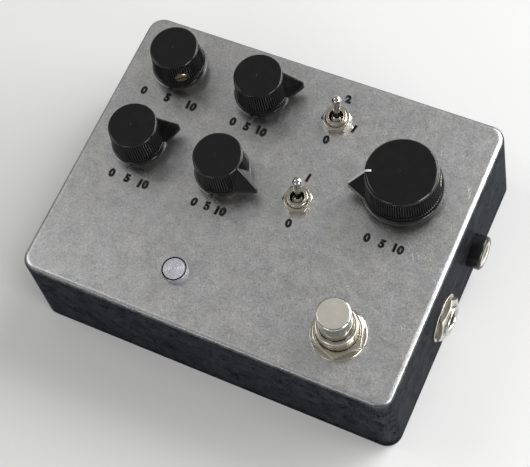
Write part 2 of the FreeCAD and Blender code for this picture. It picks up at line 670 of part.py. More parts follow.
def make_stomp_nuts():
    """The nut seen on top and its twin under the panel."""
    x, y = STOMP_PLACE
    bore = STOMP_BUSHING_RADIUS + FIT
    upper = hex_nut(STOMP_NUT_FLATS, bore, STOMP_NUT_THICKNESS, x, y, TOP_Z + STOMP_WASHER_THICKNESS,
                    STOMP_NUT_TURN_DEG)
    lower = hex_nut(STOMP_NUT_FLATS, bore, STOMP_NUT_THICKNESS, x, y, CEILING_Z - STOMP_NUT_THICKNESS)
    return Part.makeCompound([upper, lower])


def make_stomp_washer():
    x, y = STOMP_PLACE
    return ring(STOMP_WASHER_RADIUS, STOMP_BUSHING_RADIUS + FIT, STOMP_WASHER_THICKNESS, x, y, TOP_Z)


def spring_span():
    low = STOMP_CASE_TOP_Z - SPRING_POCKET_DEPTH
    high = TOP_Z - BUTTON_DEPTH
    return low, high


def make_stomp_spring():
    """Return spring: half-turn arcs of wire, swept from the case pocket to the button."""
    x, y = STOMP_PLACE
    low, high = spring_span()
    start = low + SPRING_WIRE_RADIUS + EPS
    half_rise = (high - low - 2 * (SPRING_WIRE_RADIUS + EPS)) / (2 * SPRING_TURNS)
    middle_radius = math.hypot(SPRING_COIL_RADIUS, half_rise / 2)
    arcs = []
    for k in range(2 * SPRING_TURNS):
        side = 1 if k % 2 == 0 else -1
        z = start + k * half_rise
        arcs.append(Part.Arc(vec(x + side * SPRING_COIL_RADIUS, y, z),
                             vec(x, y + side * middle_radius, z + half_rise / 2),
                             vec(x - side * SPRING_COIL_RADIUS, y, z + half_rise)).toShape())
    section = Part.Circle(vec(x + SPRING_COIL_RADIUS, y, start), vec(0, 1, 0), SPRING_WIRE_RADIUS)
    return Part.Wire(arcs).makePipeShell([Part.Wire(section.toShape())], True, False)


def make_lamp_lens():
    """Clear lens: a low crowned disc with fine rings, and a barrel through the panel."""
    x, y = LAMP_PLACE
    rim_z = TOP_Z + LENS_HEIGHT - LENS_CROWN
    rings = []
    step = (LENS_RADIUS - LENS_RIM_WIDTH) / (2 * LENS_RINGS)
    for k in range(2 * LENS_RINGS + 1):
        r = k * step
        crown = LENS_CROWN * (1 - (r / LENS_RADIUS) ** 2)
        dip = LENS_RING_DEPTH if k % 2 else 0.0
        rings.append((r, rim_z + crown - dip))
    cavity = LAMP_RADIUS + LENS_CAVITY_GAP
    cavity_top = TOP_Z + LENS_CAVITY_RISE
    foot = TOP_Z - LENS_BARREL_DEPTH
    side = [(LENS_RADIUS, rim_z - LENS_RIM_DROP), (LENS_RADIUS, TOP_Z), (LENS_BARREL_RADIUS, TOP_Z)]
    inside = [(LENS_BARREL_RADIUS, foot), (cavity, foot), (cavity, cavity_top), (0, cavity_top)]
    return revolve(rings + side + inside, x, y, 0)


def make_lamp():
    """Light-emitting lamp under the lens, standing on two leads in the board."""
    x, y = LAMP_PLACE
    flange_top = TOP_Z - LENS_BARREL_DEPTH - FIT
    bulb_end = TOP_Z + LENS_CAVITY_RISE - LAMP_HEADROOM - LAMP_DOME_HEIGHT
    bulb = cylinder(LAMP_RADIUS, bulb_end - flange_top, x, y, flange_top)
    dome = Part.makeSphere(LAMP_RADIUS, vec(x, y, bulb_end))
    dome = dome.common(cylinder(LAMP_RADIUS + 1, LAMP_DOME_HEIGHT, x, y, bulb_end))
    flange = cylinder(LAMP_FLANGE_RADIUS, LAMP_FLANGE_THICKNESS, x, y, flange_top - LAMP_FLANGE_THICKNESS)
    low = BOARD_LOW_Z - PIN_PAST_BOARD
    lead_length = flange_top - LAMP_FLANGE_THICKNESS - low
    leads = [cylinder(LAMP_LEAD_RADIUS, lead_length, x + s * LAMP_LEAD_PITCH / 2, y, low) for s in (-1, 1)]
    return bulb.fuse([dome, flange] + leads).removeSplitter()


def make_jack_bushing(side):
    """The jack's threaded metal bushing, staked a little way into its housing."""
    low = -WALL - JACK_BUSHING_STAKE
    bushing = along_x(cylinder(JACK_BUSHING_RADIUS, JACK_BUSHING_REACH - low, 0, 0, low))
    rim = [e for e in bushing.Edges if abs(e.BoundBox.XMin - JACK_BUSHING_REACH) < EPS]
    bushing = bushing.makeChamfer(BUSHING_CHAMFER, rim)
    bore = along_x(cylinder(JACK_BORE_RADIUS, 2 * JACK_BUSHING_REACH - low, 0, 0, low - EPS))
    return on_wall(bushing.cut(bore), side, JACK_Y, JACK_Z)


def make_jack_housings():
    """Moulded housings inside the side walls, each bored for the plug."""
    back = -WALL - JACK_BODY_LENGTH
    stake = -WALL - JACK_BUSHING_STAKE
    half = JACK_BODY_SIDE / 2
    housing = box(back, -WALL, -half, half, -half, half)
    housing = housing.cut(along_x(cylinder(JACK_BORE_RADIUS, JACK_BODY_LENGTH, 0, 0, back + JACK_BORE_END)))
    housing = housing.cut(along_x(cylinder(JACK_BUSHING_RADIUS + FIT, JACK_BODY_LENGTH, 0, 0, stake)))
    return Part.makeCompound([on_wall(housing, side, JACK_Y, JACK_Z) for side in (1, -1)])


def make_jack_nuts():
    nuts = []
    for side in (1, -1):
        nut = along_x(hex_nut(JACK_NUT_FLATS, JACK_BUSHING_RADIUS + FIT, JACK_NUT_THICKNESS, 0, 0,
                              JACK_WASHER_THICKNESS, JACK_NUT_TURN_DEG))
        nuts.append(on_wall(nut, side, JACK_Y, JACK_Z))
    return Part.makeCompound(nuts)


def make_jack_washers():
    washers = []
    for side in (1, -1):
        washer = along_x(ring(JACK_WASHER_RADIUS, JACK_BUSHING_RADIUS + FIT, JACK_WASHER_THICKNESS, 0, 0, 0))
        washers.append(on_wall(washer, side, JACK_Y, JACK_Z))
    return Part.makeCompound(washers)


def make_jack_contacts():
    """Two solder lugs behind each jack, for the tip and the sleeve."""
    lugs = []
    back = -WALL - JACK_BODY_LENGTH
    for side in (1, -1):
        for shift in (-JACK_LUG_SPREAD, JACK_LUG_SPREAD):
            lug = box(back - LUG_LENGTH, back, shift - LUG_WIDTH / 2, shift + LUG_WIDTH / 2,
                      -LUG_THICKNESS / 2, LUG_THICKNESS / 2)
            lugs.append(on_wall(lug, side, JACK_Y, JACK_Z))
    return Part.makeCompound(lugs)


def make_socket_body():
    """Power socket: round flange outside the wall, threaded barrel through it, two lugs."""
    barrel = along_x(cylinder(SOCKET_BARREL_RADIUS, SOCKET_BARREL_DEPTH, 0, 0, -SOCKET_BARREL_DEPTH))
    flange = along_x(cylinder(SOCKET_FLANGE_RADIUS, SOCKET_FLANGE_REACH, 0, 0, 0))
    rim = [e for e in flange.Edges if abs(e.BoundBox.XMin - SOCKET_FLANGE_REACH) < EPS]
    flange = flange.makeFillet(SOCKET_EDGE_RADIUS, rim)
    lugs = [box(-SOCKET_BARREL_DEPTH - LUG_LENGTH, -SOCKET_BARREL_DEPTH, s - LUG_WIDTH / 2, s + LUG_WIDTH / 2,
                -LUG_THICKNESS / 2, LUG_THICKNESS / 2) for s in (-SOCKET_LUG_SPREAD, SOCKET_LUG_SPREAD)]
    body = barrel.fuse([flange] + lugs).removeSplitter()
    seat = along_x(cylinder(SOCKET_SLEEVE_RADIUS + FIT, SOCKET_FLANGE_REACH + SOCKET_BORE_DEPTH + 1, 0, 0,
                            -SOCKET_BORE_DEPTH))
    return on_wall(body.cut(seat), 1, SOCKET_Y, SOCKET_Z)


def make_socket_sleeve():
    length = SOCKET_FLANGE_REACH + SOCKET_BORE_DEPTH - SOCKET_SLEEVE_SETBACK
    sleeve = along_x(ring(SOCKET_SLEEVE_RADIUS, SOCKET_BORE_RADIUS, length, 0, 0, -SOCKET_BORE_DEPTH))
    return on_wall(sleeve, 1, SOCKET_Y, SOCKET_Z)


def make_socket_pin():
    end = SOCKET_FLANGE_REACH - SOCKET_PIN_SETBACK
    pin = along_x(cylinder(SOCKET_PIN_RADIUS, end + SOCKET_BORE_DEPTH, 0, 0, -SOCKET_BORE_DEPTH))
    rim = [e for e in pin.Edges if abs(e.BoundBox.XMin - end) < EPS]
    return on_wall(pin.makeFillet(SOCKET_PIN_ROUNDING, rim), 1, SOCKET_Y, SOCKET_Z)


def make_socket_nut():
    nut = along_x(hex_nut(SOCKET_NUT_FLATS, SOCKET_BARREL_RADIUS + FIT, SOCKET_NUT_THICKNESS, 0, 0,
                          -WALL - SOCKET_NUT_THICKNESS))
    return on_wall(nut, 1, SOCKET_Y, SOCKET_Z)


def make_circuit_board():
    """Board under the potentiometers, notched for the stomp switch, windowed for the toggles."""
    right = BOX_LENGTH / 2 - BOSS_INSET - BOSS_RADIUS - BOARD_EDGE_GAP
    outline = [(-right, BOARD_FRONT_Y), (BOARD_STEP_X, BOARD_FRONT_Y), (BOARD_STEP_X, BOARD_STEP_Y),
               (right, BOARD_STEP_Y), (right, BOARD_BACK_Y), (-right, BOARD_BACK_Y)]
    board = polygon_prism(outline, BOARD_LOW_Z, BOARD_THICKNESS)
    drill_low = BOARD_LOW_Z - BOARD_THICKNESS
    drill_height = 3 * BOARD_THICKNESS
    window_x = TOGGLE_CASE_X + 2 * BOARD_WINDOW_GAP
    window_y = TOGGLE_CASE_Y + 2 * BOARD_WINDOW_GAP
    for x, y in TOGGLES.values():
        board = board.cut(centred_box(window_x, window_y, drill_height, x, y, drill_low))
    places = []
    for x, y, angle, sizes in KNOBS.values():
        places += [(px, py, PIN_RADIUS) for px, py in pot_pin_places(x, y)]
    places += [(LAMP_PLACE[0] + s * LAMP_LEAD_PITCH / 2, LAMP_PLACE[1], LAMP_LEAD_RADIUS) for s in (-1, 1)]
    for px, py, radius in places:
        board = board.cut(cylinder(radius + HOLE_CLEARANCE, drill_height, px, py, drill_low))
    return board


def make_chips():
    """Chips under the board, each standing off on two rows of legs."""
    chips = []
    length, width, height = CHIP_SIZE
    for x, y in CHIP_PLACES:
        top = BOARD_LOW_Z - CHIP_STANDOFF
        chip = centred_box(length, width, height, x, y, top - height)
        legs = []
        for k in range(CHIP_LEGS):
            leg_x = x + (k - (CHIP_LEGS - 1) / 2) * CHIP_LEG_PITCH
            for s in (-1, 1):
                leg_y = y + s * (width / 2 + CHIP_LEG[1] / 2)
                legs.append(centred_box(CHIP_LEG[0], CHIP_LEG[1], height / 2 + CHIP_STANDOFF, leg_x, leg_y,
                                        top - height / 2))
        chips.append(chip.fuse(legs).removeSplitter())
    return Part.makeCompound(chips)


def make_capacitors():
    """Round electrolytic cans and boxy film capacitors, hanging from the board."""
    shapes = []
    for x, y in CAN_PLACES:
        can = cylinder(CAN_RADIUS, CAN_HEIGHT, x, y, BOARD_LOW_Z - CAN_HEIGHT)
        rim = [e for e in can.Edges if abs(e.BoundBox.ZMax - BOARD_LOW_Z + CAN_HEIGHT) < EPS]
        shapes.append(can.makeFillet(CAN_EDGE_RADIUS, rim))
    for x, y in FILM_PLACES:
        shapes.append(centred_box(*FILM_SIZE, x, y, BOARD_LOW_Z - FILM_SIZE[2]))
    return Part.makeCompound(shapes)


def make_resistors():
    resistors = []
    for x, y, count in RESISTOR_PLACES:
        for k in range(count):
            row_y = y + k * RESISTOR_PITCH
            axis_drop = RESISTOR_RADIUS + FIT
            axis_z = BOARD_LOW_Z - axis_drop
            lead_x = RESISTOR_LENGTH / 2 - 2 * RESISTOR_LEAD_RADIUS
            barrel = along_x(cylinder(RESISTOR_RADIUS, RESISTOR_LENGTH, 0, 0, -RESISTOR_LENGTH / 2))
            barrel.translate(vec(x, row_y, axis_z))
            leads = []
            for s in (-1, 1):
                leads.append(cylinder(RESISTOR_LEAD_RADIUS, axis_drop, x + s * lead_x, row_y, axis_z))
            resistors.append(barrel.fuse(leads).removeSplitter())
    return Part.makeCompound(resistors)


def bent_wire(points):
    """A round wire along straight runs that are joined by arcs of one bend radius."""
    corners = [vec(*p) for p in points]
    edges = []
    start = corners[0]
    for before, corner, after in zip(corners, corners[1:], corners[2:]):
        inward = (corner - before).normalize()
        outward = (after - corner).normalize()
        turn = inward.getAngle(outward)
        reach = WIRE_BEND * math.tan(turn / 2)
        arc_start = corner - inward * reach
        arc_end = corner + outward * reach
        middle_way = (outward - inward).normalize()
        arc_middle = corner + middle_way * (WIRE_BEND / math.cos(turn / 2) - WIRE_BEND)
        edges.append(Part.LineSegment(start, arc_start).toShape())
        edges.append(Part.Arc(arc_start, arc_middle, arc_end).toShape())
        start = arc_end
    edges.append(Part.LineSegment(start, corners[-1]).toShape())
    first = (corners[1] - corners[0]).normalize()
    section = Part.Wire(Part.Circle(corners[0], first, WIRE_RADIUS).toShape())
    return Part.Wire(edges).makePipeShell([section], True, False)


def lug_end(height, reach):
    """Where a lug ends that lies reach behind a side wall's outer face."""
    tilt = math.radians(WALL_DRAFT_DEG)
    return BOX_LENGTH / 2 - height * DRAFT - reach * math.cos(tilt), height - reach * math.sin(tilt)


def make_hookup_wires():
    """Insulated wires from the stomp switch's lugs to the jacks, the socket and the board."""
    stomp_x, stomp_y = STOMP_PLACE
    lug_low = STOMP_CASE_TOP_Z - STOMP_CASE_HEIGHT - LUG_LENGTH
    jack_x, jack_z = lug_end(JACK_Z, WALL + JACK_BODY_LENGTH + LUG_LENGTH)
    socket_x, socket_z = lug_end(SOCKET_Z, SOCKET_BARREL_DEPTH + LUG_LENGTH)
    wires = []
    for row, side in ((-1, 1), (0, -1)):
        start = (stomp_x + row * STOMP_LUG_PITCH, stomp_y + row * STOMP_LUG_PITCH)
        floor = BASE_PLATE_THICKNESS + WIRE_FLOOR_GAP + (row + 1) * WIRE_LAYER
        y = JACK_Y - JACK_LUG_SPREAD
        turn_x = side * (jack_x - WIRE_LOOP)
        wires.append(bent_wire([(*start, lug_low), (*start, floor), (turn_x, y, floor),
                                (turn_x, y, jack_z), (side * jack_x, y, jack_z)]))
    for column, end in enumerate(BOARD_WIRE_ENDS):
        start = (stomp_x + (column - 1) * STOMP_LUG_PITCH, stomp_y + STOMP_LUG_PITCH)
        floor = BASE_PLATE_THICKNESS + WIRE_FLOOR_GAP + (column + 2) * WIRE_LAYER
        wires.append(bent_wire([(*start, lug_low), (*start, floor), (*end, floor), (*end, BOARD_LOW_Z)]))
    for shift in (-SOCKET_LUG_SPREAD, SOCKET_LUG_SPREAD):
        y = SOCKET_Y + shift
        wires.append(bent_wire([(socket_x, y, socket_z), (socket_x - WIRE_LOOP, y, socket_z),
                                (socket_x - WIRE_LOOP, y, BOARD_LOW_Z)]))
    return Part.makeCompound(wires)


def all_nodes():
    nodes = {
        "enclosure_body": make_enclosure_body(),
        "base_plate": make_base_plate(),
        "base_screws": make_base_screws(),
        "circuit_board": make_circuit_board(),
        "chips": make_chips(),
        "capacitors": make_capacitors(),
        "resistors": make_resistors(),
        "pot_pins": make_pot_pins(),
        "pot_washers": make_pot_washers(),
        "pot_nuts": make_pot_nuts(),
        "toggle_nuts": make_toggle_nuts(),
        "switch_lugs": make_switch_lugs(),
        "stomp_case": make_stomp_case(),
        "stomp_bushing": make_stomp_bushing(),
        "stomp_button": make_stomp_button(),
        "stomp_nuts": make_stomp_nuts(),
        "stomp_washer": make_stomp_washer(),
        "stomp_spring": make_stomp_spring(),
        "lamp_lens": make_lamp_lens(),
        "lamp": make_lamp(),
        "input_jack": make_jack_bushing(1),
        "output_jack": make_jack_bushing(-1),
        "jack_housings": make_jack_housings(),
        "jack_nuts": make_jack_nuts(),
        "jack_washers": make_jack_washers(),
        "jack_contacts": make_jack_contacts(),
        "power_socket": make_socket_body(),
        "power_socket_sleeve": make_socket_sleeve(),
        "power_socket_pin": make_socket_pin(),
        "power_socket_nut": make_socket_nut(),
        "hookup_wires": make_hookup_wires(),
    }
    for name, (x, y, angle, sizes) in KNOBS.items():
        nodes["pot_" + name] = make_pot(x, y)
        nodes["shaft_" + name] = make_shaft(x, y)
        nodes["knob_" + name] = make_knob(sizes, x, y, angle)
        nodes["knob_insert_" + name] = make_knob_insert(x, y, angle)
        nodes["set_screw_" + name] = make_set_screw(sizes, x, y, angle)
    for name, (x, y) in TOGGLES.items():
        nodes["toggle_body_" + name] = make_toggle_body(x, y)
        nodes["toggle_lever_" + name] = make_toggle_lever(x, y)
    return nodes


def write_nodes(nodes):
    os.makedirs("parts", exist_ok=True)
    for name, shape in nodes.items():
        shape.exportStep("parts/" + name + ".step")
        size = shape.BoundBox
        print(f"{name}: {len(shape.Solids)} solids, volume {shape.Volume:.1f} mm3, valid {shape.isValid()}, "
              f"z {size.ZMin:.2f} to {size.ZMax:.2f}")


write_nodes(all_nodes())
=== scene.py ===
# %% [markdown]
# # Dressing an analog delay pedal
# The CAD package already holds every solid of this pedal: a die-cast box, five knobs, two
# toggle switches, an indicator lens, a stomp switch, two jacks and a power socket. This
# notebook lights it, gives each solid a finish, and replaces the solids whose small forms
# the eye looks for: ribbed knobs, nuts, threads, and numbers stamped in the metal.
# Everything is in metres and in the frame of the CAD, so nothing has to be fitted by eye.

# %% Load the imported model
import json
import math

import bmesh
import bpy
from mathutils import Matrix, Vector

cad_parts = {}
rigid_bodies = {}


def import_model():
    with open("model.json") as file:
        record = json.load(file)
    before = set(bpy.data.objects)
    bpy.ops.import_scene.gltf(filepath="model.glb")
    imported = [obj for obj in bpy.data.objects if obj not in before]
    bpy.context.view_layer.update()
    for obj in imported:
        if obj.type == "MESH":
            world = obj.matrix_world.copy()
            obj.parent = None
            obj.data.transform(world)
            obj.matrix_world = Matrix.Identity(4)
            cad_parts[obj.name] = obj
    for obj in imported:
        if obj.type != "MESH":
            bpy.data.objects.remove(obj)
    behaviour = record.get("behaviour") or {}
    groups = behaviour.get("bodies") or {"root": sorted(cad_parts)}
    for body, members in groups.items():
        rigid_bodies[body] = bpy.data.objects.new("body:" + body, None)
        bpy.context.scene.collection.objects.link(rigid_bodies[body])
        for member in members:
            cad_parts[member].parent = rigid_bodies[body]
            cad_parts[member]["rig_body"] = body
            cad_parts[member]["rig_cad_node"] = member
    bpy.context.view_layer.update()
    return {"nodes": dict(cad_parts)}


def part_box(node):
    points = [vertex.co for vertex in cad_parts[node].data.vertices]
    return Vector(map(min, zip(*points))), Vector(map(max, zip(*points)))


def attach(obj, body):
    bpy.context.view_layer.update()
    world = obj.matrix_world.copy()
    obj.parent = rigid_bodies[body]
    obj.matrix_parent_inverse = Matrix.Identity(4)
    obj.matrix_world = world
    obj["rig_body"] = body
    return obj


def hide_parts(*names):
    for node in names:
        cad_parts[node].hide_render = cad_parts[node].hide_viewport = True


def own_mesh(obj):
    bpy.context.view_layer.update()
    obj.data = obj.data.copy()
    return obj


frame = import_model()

# %% [markdown]
# ## The camera
# The photograph looks down on the pedal from its front right corner, with a little roll.
# A camera could be aimed with a Track To constraint, but that cannot roll it. Here the
# camera's own three axes are written down as unit vectors, measured from the edges of the
# box in the picture, and they become the columns of its matrix.

# %% Camera
IMAGE_WIDTH_PX = 530
FOCAL_LENGTH_PX = 1346.82
SENSOR_WIDTH = 36.0
NEAR_CLIP, FAR_CLIP = 0.01, 20.0
camera_place = Vector((0.11389, -0.13396, 0.38446))
to_the_right = Vector((0.90066, 0.41395, -0.13213))
upwards = Vector((-0.33248, 0.85229, 0.40380))
backwards = Vector((0.27977, -0.31976, 0.90525))

camera_lens = bpy.data.cameras.new("camera")
camera_lens.sensor_width = SENSOR_WIDTH
camera_lens.lens = FOCAL_LENGTH_PX / IMAGE_WIDTH_PX * SENSOR_WIDTH
camera_lens.clip_start, camera_lens.clip_end = NEAR_CLIP, FAR_CLIP
camera = bpy.data.objects.new("camera", camera_lens)
bpy.context.scene.collection.objects.link(camera)
axes = Matrix((to_the_right, upwards, backwards)).transposed()
camera.matrix_world = Matrix.Translation(camera_place) @ axes.to_4x4()
bpy.context.scene.camera = camera
print("lens", round(camera_lens.lens, 2), "mm, distance", round(camera_place.length, 3), "m")

# %% [markdown]
# ## Floor and light
# Bare metal shows its surroundings more than its own colour, so the lamps are placed by what
# each face mirrors. The front wall of the box mirrors the floor close to it, and it is nearly
# black in the photograph. So the main softbox and a lower right softbox both stand behind and
# to the right, and that wall and the floor before it lie in shade. The right softbox is long
# and low, and draws the bright line along the right edge. A weak fill from the left keeps the
# top even. Two weak strips, at the right and in front, draw the pale lines on the knobs' rims.

# %% Floor
FLOOR_DROP = 0.0002
FLOOR_SIZE = 8.0
bpy.context.scene.view_settings.view_transform = "Standard"
bpy.ops.object.select_all(action="DESELECT")
bpy.ops.mesh.primitive_plane_add(size=FLOOR_SIZE, location=(0, 0, -FLOOR_DROP))
floor = bpy.context.object
floor.name = "floor"
floor_paint = bpy.data.materials.new("pale floor")
floor_paint.use_nodes = True
floor_shader = floor_paint.node_tree.nodes["Principled BSDF"]
floor_shader.inputs["Base Color"].default_value = (0.9, 0.9, 0.9, 1)
floor_shader.inputs["Roughness"].default_value = 0.9
floor_shader.inputs["Specular IOR Level"].default_value = 0.1
floor.data.materials.append(floor_paint)
print("floor", FLOOR_SIZE, "m square")


# %% Lamps
def softbox(name, aim, distance, width, height, watts):
    """A rectangular lamp that faces the pedal from the direction of aim."""
    lamp = bpy.data.lights.new(name, "AREA")
    lamp.shape = "RECTANGLE"
    lamp.size, lamp.size_y = width, height
    lamp.energy = watts
    holder = bpy.data.objects.new(name, lamp)
    bpy.context.scene.collection.objects.link(holder)
    away = Vector(aim).normalized()
    holder.location = away * distance
    holder.rotation_mode = "QUATERNION"
    holder.rotation_quaternion = (-away).to_track_quat("-Z", "Y")
    print(name, "at", [round(v, 2) for v in holder.location], watts, "W")


softbox("main softbox", (0.36, 0.62, 0.70), 2.4, 1.0, 1.0, 19.0)
softbox("left fill", (-0.66, -0.06, 0.75), 2.0, 0.8, 0.8, 5.0)
softbox("right softbox", (0.68, 0.66, 0.31), 1.3, 1.8, 0.36, 19.5)
softbox("right strip", (0.94, -0.26, 0.20), 1.2, 0.55, 0.4, 7.5)
softbox("front strip", (-0.20, -0.94, 0.22), 1.2, 0.5, 0.3, 1.5)

SKY_COLOUR = (1.0, 0.99, 0.97, 1)
SKY_STRENGTH = 0.3
sky = bpy.data.worlds.new("room")
sky.use_nodes = True
sky.node_tree.nodes["Background"].inputs["Color"].default_value = SKY_COLOUR
sky.node_tree.nodes["Background"].inputs["Strength"].default_value = SKY_STRENGTH
bpy.context.scene.world = sky

# %% [markdown]
# ## Shader building blocks
# Every finish here is made of nodes. Typing them one by one is long, so `wire` adds a node,
# fills its inputs, and returns an output that the next node can take. All patterns start from
# Object coordinates in millimetres: the pieces sit at the origin, so a pattern stays fixed to
# its piece when a knob turns, and 1.0 in a pattern is one real millimetre.

# %% One node at a time
MM = 0.001


def fill(node, inputs):
    """Gives each named input of a node a link, a plain value, or a colour's three numbers."""
    for name, value in inputs.items():
        if isinstance(value, bpy.types.NodeSocket):
            node.id_data.links.new(value, node.inputs[name])
        else:
            colour = node.inputs[name].type == "RGBA"
            node.inputs[name].default_value = (*value, 1) if colour else value


def tree_of(values):
    """The node tree that the links among some values belong to."""
    return next(value.id_data for value in values if isinstance(value, bpy.types.NodeSocket))


def wire(kind, inputs, out=0, tree=None, **settings):
    """Adds a shader node, fills or links its inputs, and returns one of its outputs."""
    node = (tree or tree_of(inputs.values())).nodes.new("ShaderNode" + kind)
    for name, value in settings.items():
        setattr(node, name, value)
    fill(node, inputs)
    return node.outputs[out]


def sum_maker(operation):
    def sum_of(first, second):
        return wire("Math", {0: first, 1: second}, operation=operation)
    return sum_of


plus, minus, times, divided, larger, less_than = [sum_maker(operation) for operation in (
    "ADD", "SUBTRACT", "MULTIPLY", "DIVIDE", "MAXIMUM", "LESS_THAN")]


def mix_colours(share, under, over, blend="MIX"):
    return wire("Mix", {0: share, 6: under, 7: over}, out=2, data_type="RGBA", blend_type=blend)


def ramp(value, low, high, at_low=0.0, at_high=1.0):
    span = {"Value": value, "From Min": low, "From Max": high, "To Min": at_low, "To Max": at_high}
    return wire("MapRange", span)


def upright(vector):
    """The Z share of a vector."""
    return wire("SeparateXYZ", {"Vector": vector}, out="Z")


def millimetres(tree):
    """Object coordinates of the piece, scaled so that one unit is a millimetre."""
    place = wire("TexCoord", {}, out="Object", tree=tree)
    return wire("VectorMath", {0: place, 3: 1 / MM}, operation="SCALE")


print("node helpers ready")

# %% [markdown]
# ## Effects that several finishes share
# Bare die-cast metal, plated nuts and moulded knobs all show the same few things: cloudy
# patches, hair scratches that cross each other, brighter worn edges, small pits and specks
# of dust. Each effect is a node group with named inputs, made once. A group gives a mask, and
# the material decides what the mask does to colour, roughness or height.


# %% Start a group
def effect(name, mask, **inputs):
    """A new group that gives one mask; its inputs are numbers, or a vector where None stands."""
    group = bpy.data.node_groups.new(name, "ShaderNodeTree")
    for label, value in inputs.items():
        kind = "NodeSocketVector" if value is None else "NodeSocketFloat"
        socket = group.interface.new_socket(name=label, in_out="INPUT", socket_type=kind)
        if value is not None:
            socket.default_value = value
    group.interface.new_socket(name=mask, in_out="OUTPUT", socket_type="NodeSocketFloat")
    start = group.nodes.new("NodeGroupInput")
    end = group.nodes.new("NodeGroupOutput")
    return group, start.outputs, end.inputs[mask]


def use(group, tree=None, **inputs):
    """Places a group in a material and returns its mask."""
    return wire("Group", inputs, tree=tree, node_tree=group)


# %% Cloudy patches
cloudy, given, result = effect("cloudy patches", "Cloud", Place=None, Size=4.0, Roughness=0.6)
scale = divided(1.0, given["Size"])
cloud = wire("TexNoise", {"Vector": given["Place"], "Scale": scale, "Detail": 6.0,
                                  "Roughness": given["Roughness"]})
cloudy.links.new(ramp(cloud, 0.28, 0.72), result)
print(cloudy.name, "made")

# %% Hair scratches
# A noise stretched along one direction has long narrow islands. Where it crosses its middle
# value there is a thin wandering line, and a second noise leaves only pieces of that line.
SCRATCH_TURNS = (0.35, 1.05, 1.75, 2.35, 2.95)
scratched, given, result = effect("hair scratches", "Scratch", Place=None, Length=5.0, Gap=0.7,
                                  Width=0.03, Cover=0.5)
lines = 0.0
for number, turn in enumerate(SCRATCH_TURNS):
    turned = wire("VectorRotate", {"Vector": given["Place"], "Angle": turn}, rotation_type="Z_AXIS")
    along = divided(1.0, given["Length"])
    across = divided(1.0, given["Gap"])
    stretch = wire("CombineXYZ", {"X": along, "Y": across, "Z": across})
    drawn = wire("VectorMath", {0: turned, 1: stretch}, operation="MULTIPLY")
    drawn = wire("VectorMath", {0: drawn, 1: (7.1 * number, 3.3, 0.0)}, operation="ADD")
    wave = wire("TexNoise", {"Vector": drawn, "Scale": 1.0, "Detail": 1.0})
    distance = wire("Math", {0: minus(wave, 0.5)}, operation="ABSOLUTE")
    line = ramp(distance, given["Width"], 0.0)
    patch = wire("TexNoise", {"Vector": turned, "Scale": 0.33, "Detail": 2.0})
    shown = ramp(plus(patch, given["Cover"]), 1.0, 1.06)
    lines = larger(lines, times(line, shown))
scratched.links.new(lines, result)
print(scratched.name, "in", len(SCRATCH_TURNS), "directions")

# %% Worn edges
# The Bevel node looks a short way round each point. Where its averaged normal leaves the real
# one there is an edge, and edges are what a tumbling drum and years of handling polish.
worn, given, result = effect("worn edges", "Wear", Reach=0.0006, Start=0.004)
soft_normal = wire("Bevel", {"Radius": given["Reach"]}, samples=6)
true_normal = wire("NewGeometry", {}, out="Normal", tree=worn)
likeness = wire("VectorMath", {0: soft_normal, 1: true_normal}, out="Value", operation="DOT_PRODUCT")
turned_away = minus(1.0, likeness)
worn_end = plus(given["Start"], 0.06)
worn.links.new(ramp(turned_away, given["Start"], worn_end), result)
print(worn.name, "made")

# %% Pits and specks
# A Voronoi pattern is a field of cells. Keeping only the middle of a few of them gives round
# specks of one size: deep they are casting pits, and pale they are grains of dust.
specks, given, result = effect("specks", "Speck", Place=None, Spacing=1.5, Size=0.12, Share=0.3)
scale = divided(1.0, given["Spacing"])
cell = specks.nodes.new("ShaderNodeTexVoronoi")
fill(cell, {"Vector": given["Place"], "Scale": scale})
dot = ramp(cell.outputs["Distance"], given["Size"], 0.0)
lot = wire("SeparateColor", {"Color": cell.outputs["Color"]})
specks.links.new(times(dot, less_than(lot, given["Share"])), result)
print(specks.name, "made")


# %% Start a finish
FINISHES = {}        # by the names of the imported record's material slots, and a few more


def start_finish(name, **constants):
    """A finish with its shader's plain values set, and the place that its patterns start from."""
    material = bpy.data.materials.new(name.replace("_", " ") + " finish")
    material.use_nodes = True
    FINISHES[name] = material
    shader = material.node_tree.nodes["Principled BSDF"]
    fill(shader, {label.replace("_", " "): value for label, value in constants.items()})
    return shader, millimetres(material.node_tree)


def feed(shader, colour, roughness, height, depth, strength):
    """Links a colour, a roughness and a height in millimetres to the shader."""
    bump = wire("Bump", {"Height": height, "Distance": depth * MM, "Strength": strength})
    fill(shader, {"Base Color": colour, "Roughness": roughness, "Normal": bump})


def make_each(recipe, table):
    """Makes one finish for each row of a table."""
    for name, values in table.items():
        recipe(name, *values)
    print("made", ", ".join(table))
